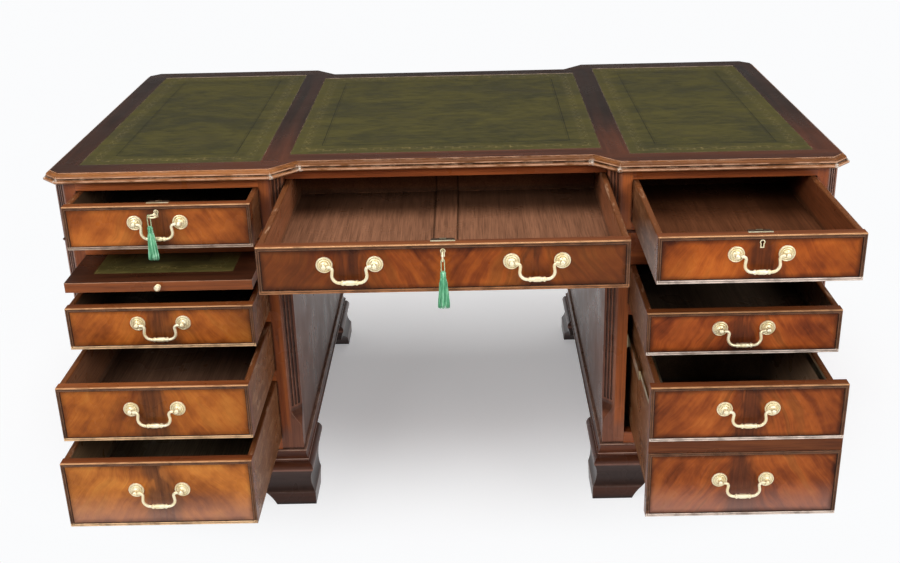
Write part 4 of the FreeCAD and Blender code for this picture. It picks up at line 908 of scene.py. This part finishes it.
def floor_material():
    """Pale paper: seen directly it is lifted to white, more so far away, and keeps the object's shadow."""
    s = Shader("floor_paper")
    speck = s.noise(s.point, 3.0, 3.0)
    colour = s.mix(s.ramp(speck, 0.3, 0.7), (0.92, 0.92, 0.93), (0.95, 0.95, 0.96))
    s.finish(colour, 0.9, specular=0.1)
    ray = s.node("ShaderNodeLightPath").outputs
    seen = s.most(ray["Is Camera Ray"], ray["Is Glossy Ray"], ray["Is Transmission Ray"])
    lift = s.node("ShaderNodeEmission", {"Color": (0.98, 0.98, 1.0), "Strength": s.mul(seen, 0.30)})
    near = s.node("ShaderNodeAddShader", {0: s.bsdf.outputs[0], 1: lift.outputs[0]})
    from_desk = s.vector(s.x, s.mul(s.sub(s.y, 0.3), 1.5), 0.0)
    away = s.node("ShaderNodeVectorMath", {0: from_desk}, operation="LENGTH").outputs["Value"]
    far = s.mul(seen, s.ramp(away, 0.55, 1.50))
    white = s.node("ShaderNodeEmission", {"Color": (0.965, 0.97, 0.98), "Strength": 1.0})
    both = s.node("ShaderNodeMixShader", {0: far, 1: near.outputs[0], 2: white.outputs[0]})
    s.put(s.out.inputs["Surface"], both.outputs[0])
    return s.material


def make_stage():
    """The floor, a little below the feet."""
    half, level = 14.0, -0.0004
    corners = [(-half, -half, level), (half, -half, level), (half, half, level), (-half, half, level)]
    mesh = bpy.data.meshes.new("floor")
    mesh.from_pydata(corners, [], [(0, 1, 2, 3)])
    mesh.materials.append(floor_material())
    add_object("floor", mesh)


def area_light(name, place, target, size, power):
    """A white lamp that faces its target."""
    data = bpy.data.lights.new(name, "AREA")
    data.shape = "RECTANGLE"
    data.size, data.size_y = size
    data.energy = power
    lamp = add_object(name, data)
    lamp.location = place
    lamp.rotation_euler = (Vector(target) - Vector(place)).to_track_quat("-Z", "Y").to_euler()


def make_world():
    """White near the horizon and dimmer overhead, so that polished tops stay dark."""
    world = bpy.data.worlds.new("studio")
    world.use_nodes = True
    tree = world.node_tree
    tree.nodes.clear()
    direction = tree.nodes.new("ShaderNodeTexCoord")
    split = tree.nodes.new("ShaderNodeSeparateXYZ")
    ramp = tree.nodes.new("ShaderNodeValToRGB")
    horizon, overhead = ramp.color_ramp.elements
    horizon.position = 0.02
    horizon.color = (0.70, 0.71, 0.73, 1.0)
    overhead.position = 0.16
    overhead.color = (0.165, 0.16, 0.15, 1.0)
    back = tree.nodes.new("ShaderNodeBackground")
    out = tree.nodes.new("ShaderNodeOutputWorld")
    tree.links.new(direction.outputs["Generated"], split.inputs[0])
    tree.links.new(split.outputs[2], ramp.inputs[0])
    tree.links.new(ramp.outputs[0], back.inputs["Color"])
    tree.links.new(back.outputs[0], out.inputs["Surface"])
    bpy.context.scene.world = world


def make_camera():
    """The photograph's viewpoint, found by fitting a pinhole camera to corners of the desk."""
    focal, centre = 1164.36, (462.12, 282.98)
    place = Vector((0.05206, -2.65340, 1.47414))
    yaw, pitch, roll = 0.0104, -0.4044, -0.0244
    width, height = 900.0, 563.0
    turn = Matrix.Rotation(yaw, 3, "Z")
    forward = turn @ Vector((0.0, math.cos(pitch), math.sin(pitch)))
    right = turn @ Vector((1.0, 0.0, 0.0))
    up = right.cross(forward)
    image_right = math.cos(roll) * right + math.sin(roll) * up
    image_up = -math.sin(roll) * right + math.cos(roll) * up
    data = bpy.data.cameras.new("camera")
    data.sensor_width = 36.0
    data.lens = focal / width * data.sensor_width
    data.shift_x = 0.5 - centre[0] / width
    data.shift_y = (centre[1] - height / 2) / width
    camera = add_object("camera", data)
    axes = Matrix((image_right, image_up, -forward)).transposed().to_4x4()
    camera.matrix_world = Matrix.Translation(place) @ axes
    bpy.context.scene.camera = camera


make_stage()
make_world()
make_camera()
area_light("key", (-2.4, -3.4, 3.0), (0.0, -0.3, 0.35), (2.2, 1.6), 92.0)
area_light("fill", (2.7, -3.2, 2.5), (0.0, -0.3, 0.35), (2.2, 1.6), 78.0)
area_light("overhead", (0.0, -0.4, 4.2), (0.0, 0.0, 0.0), (3.0, 3.0), 95.0)

bpy.context.scene.view_settings.view_transform = "Standard"
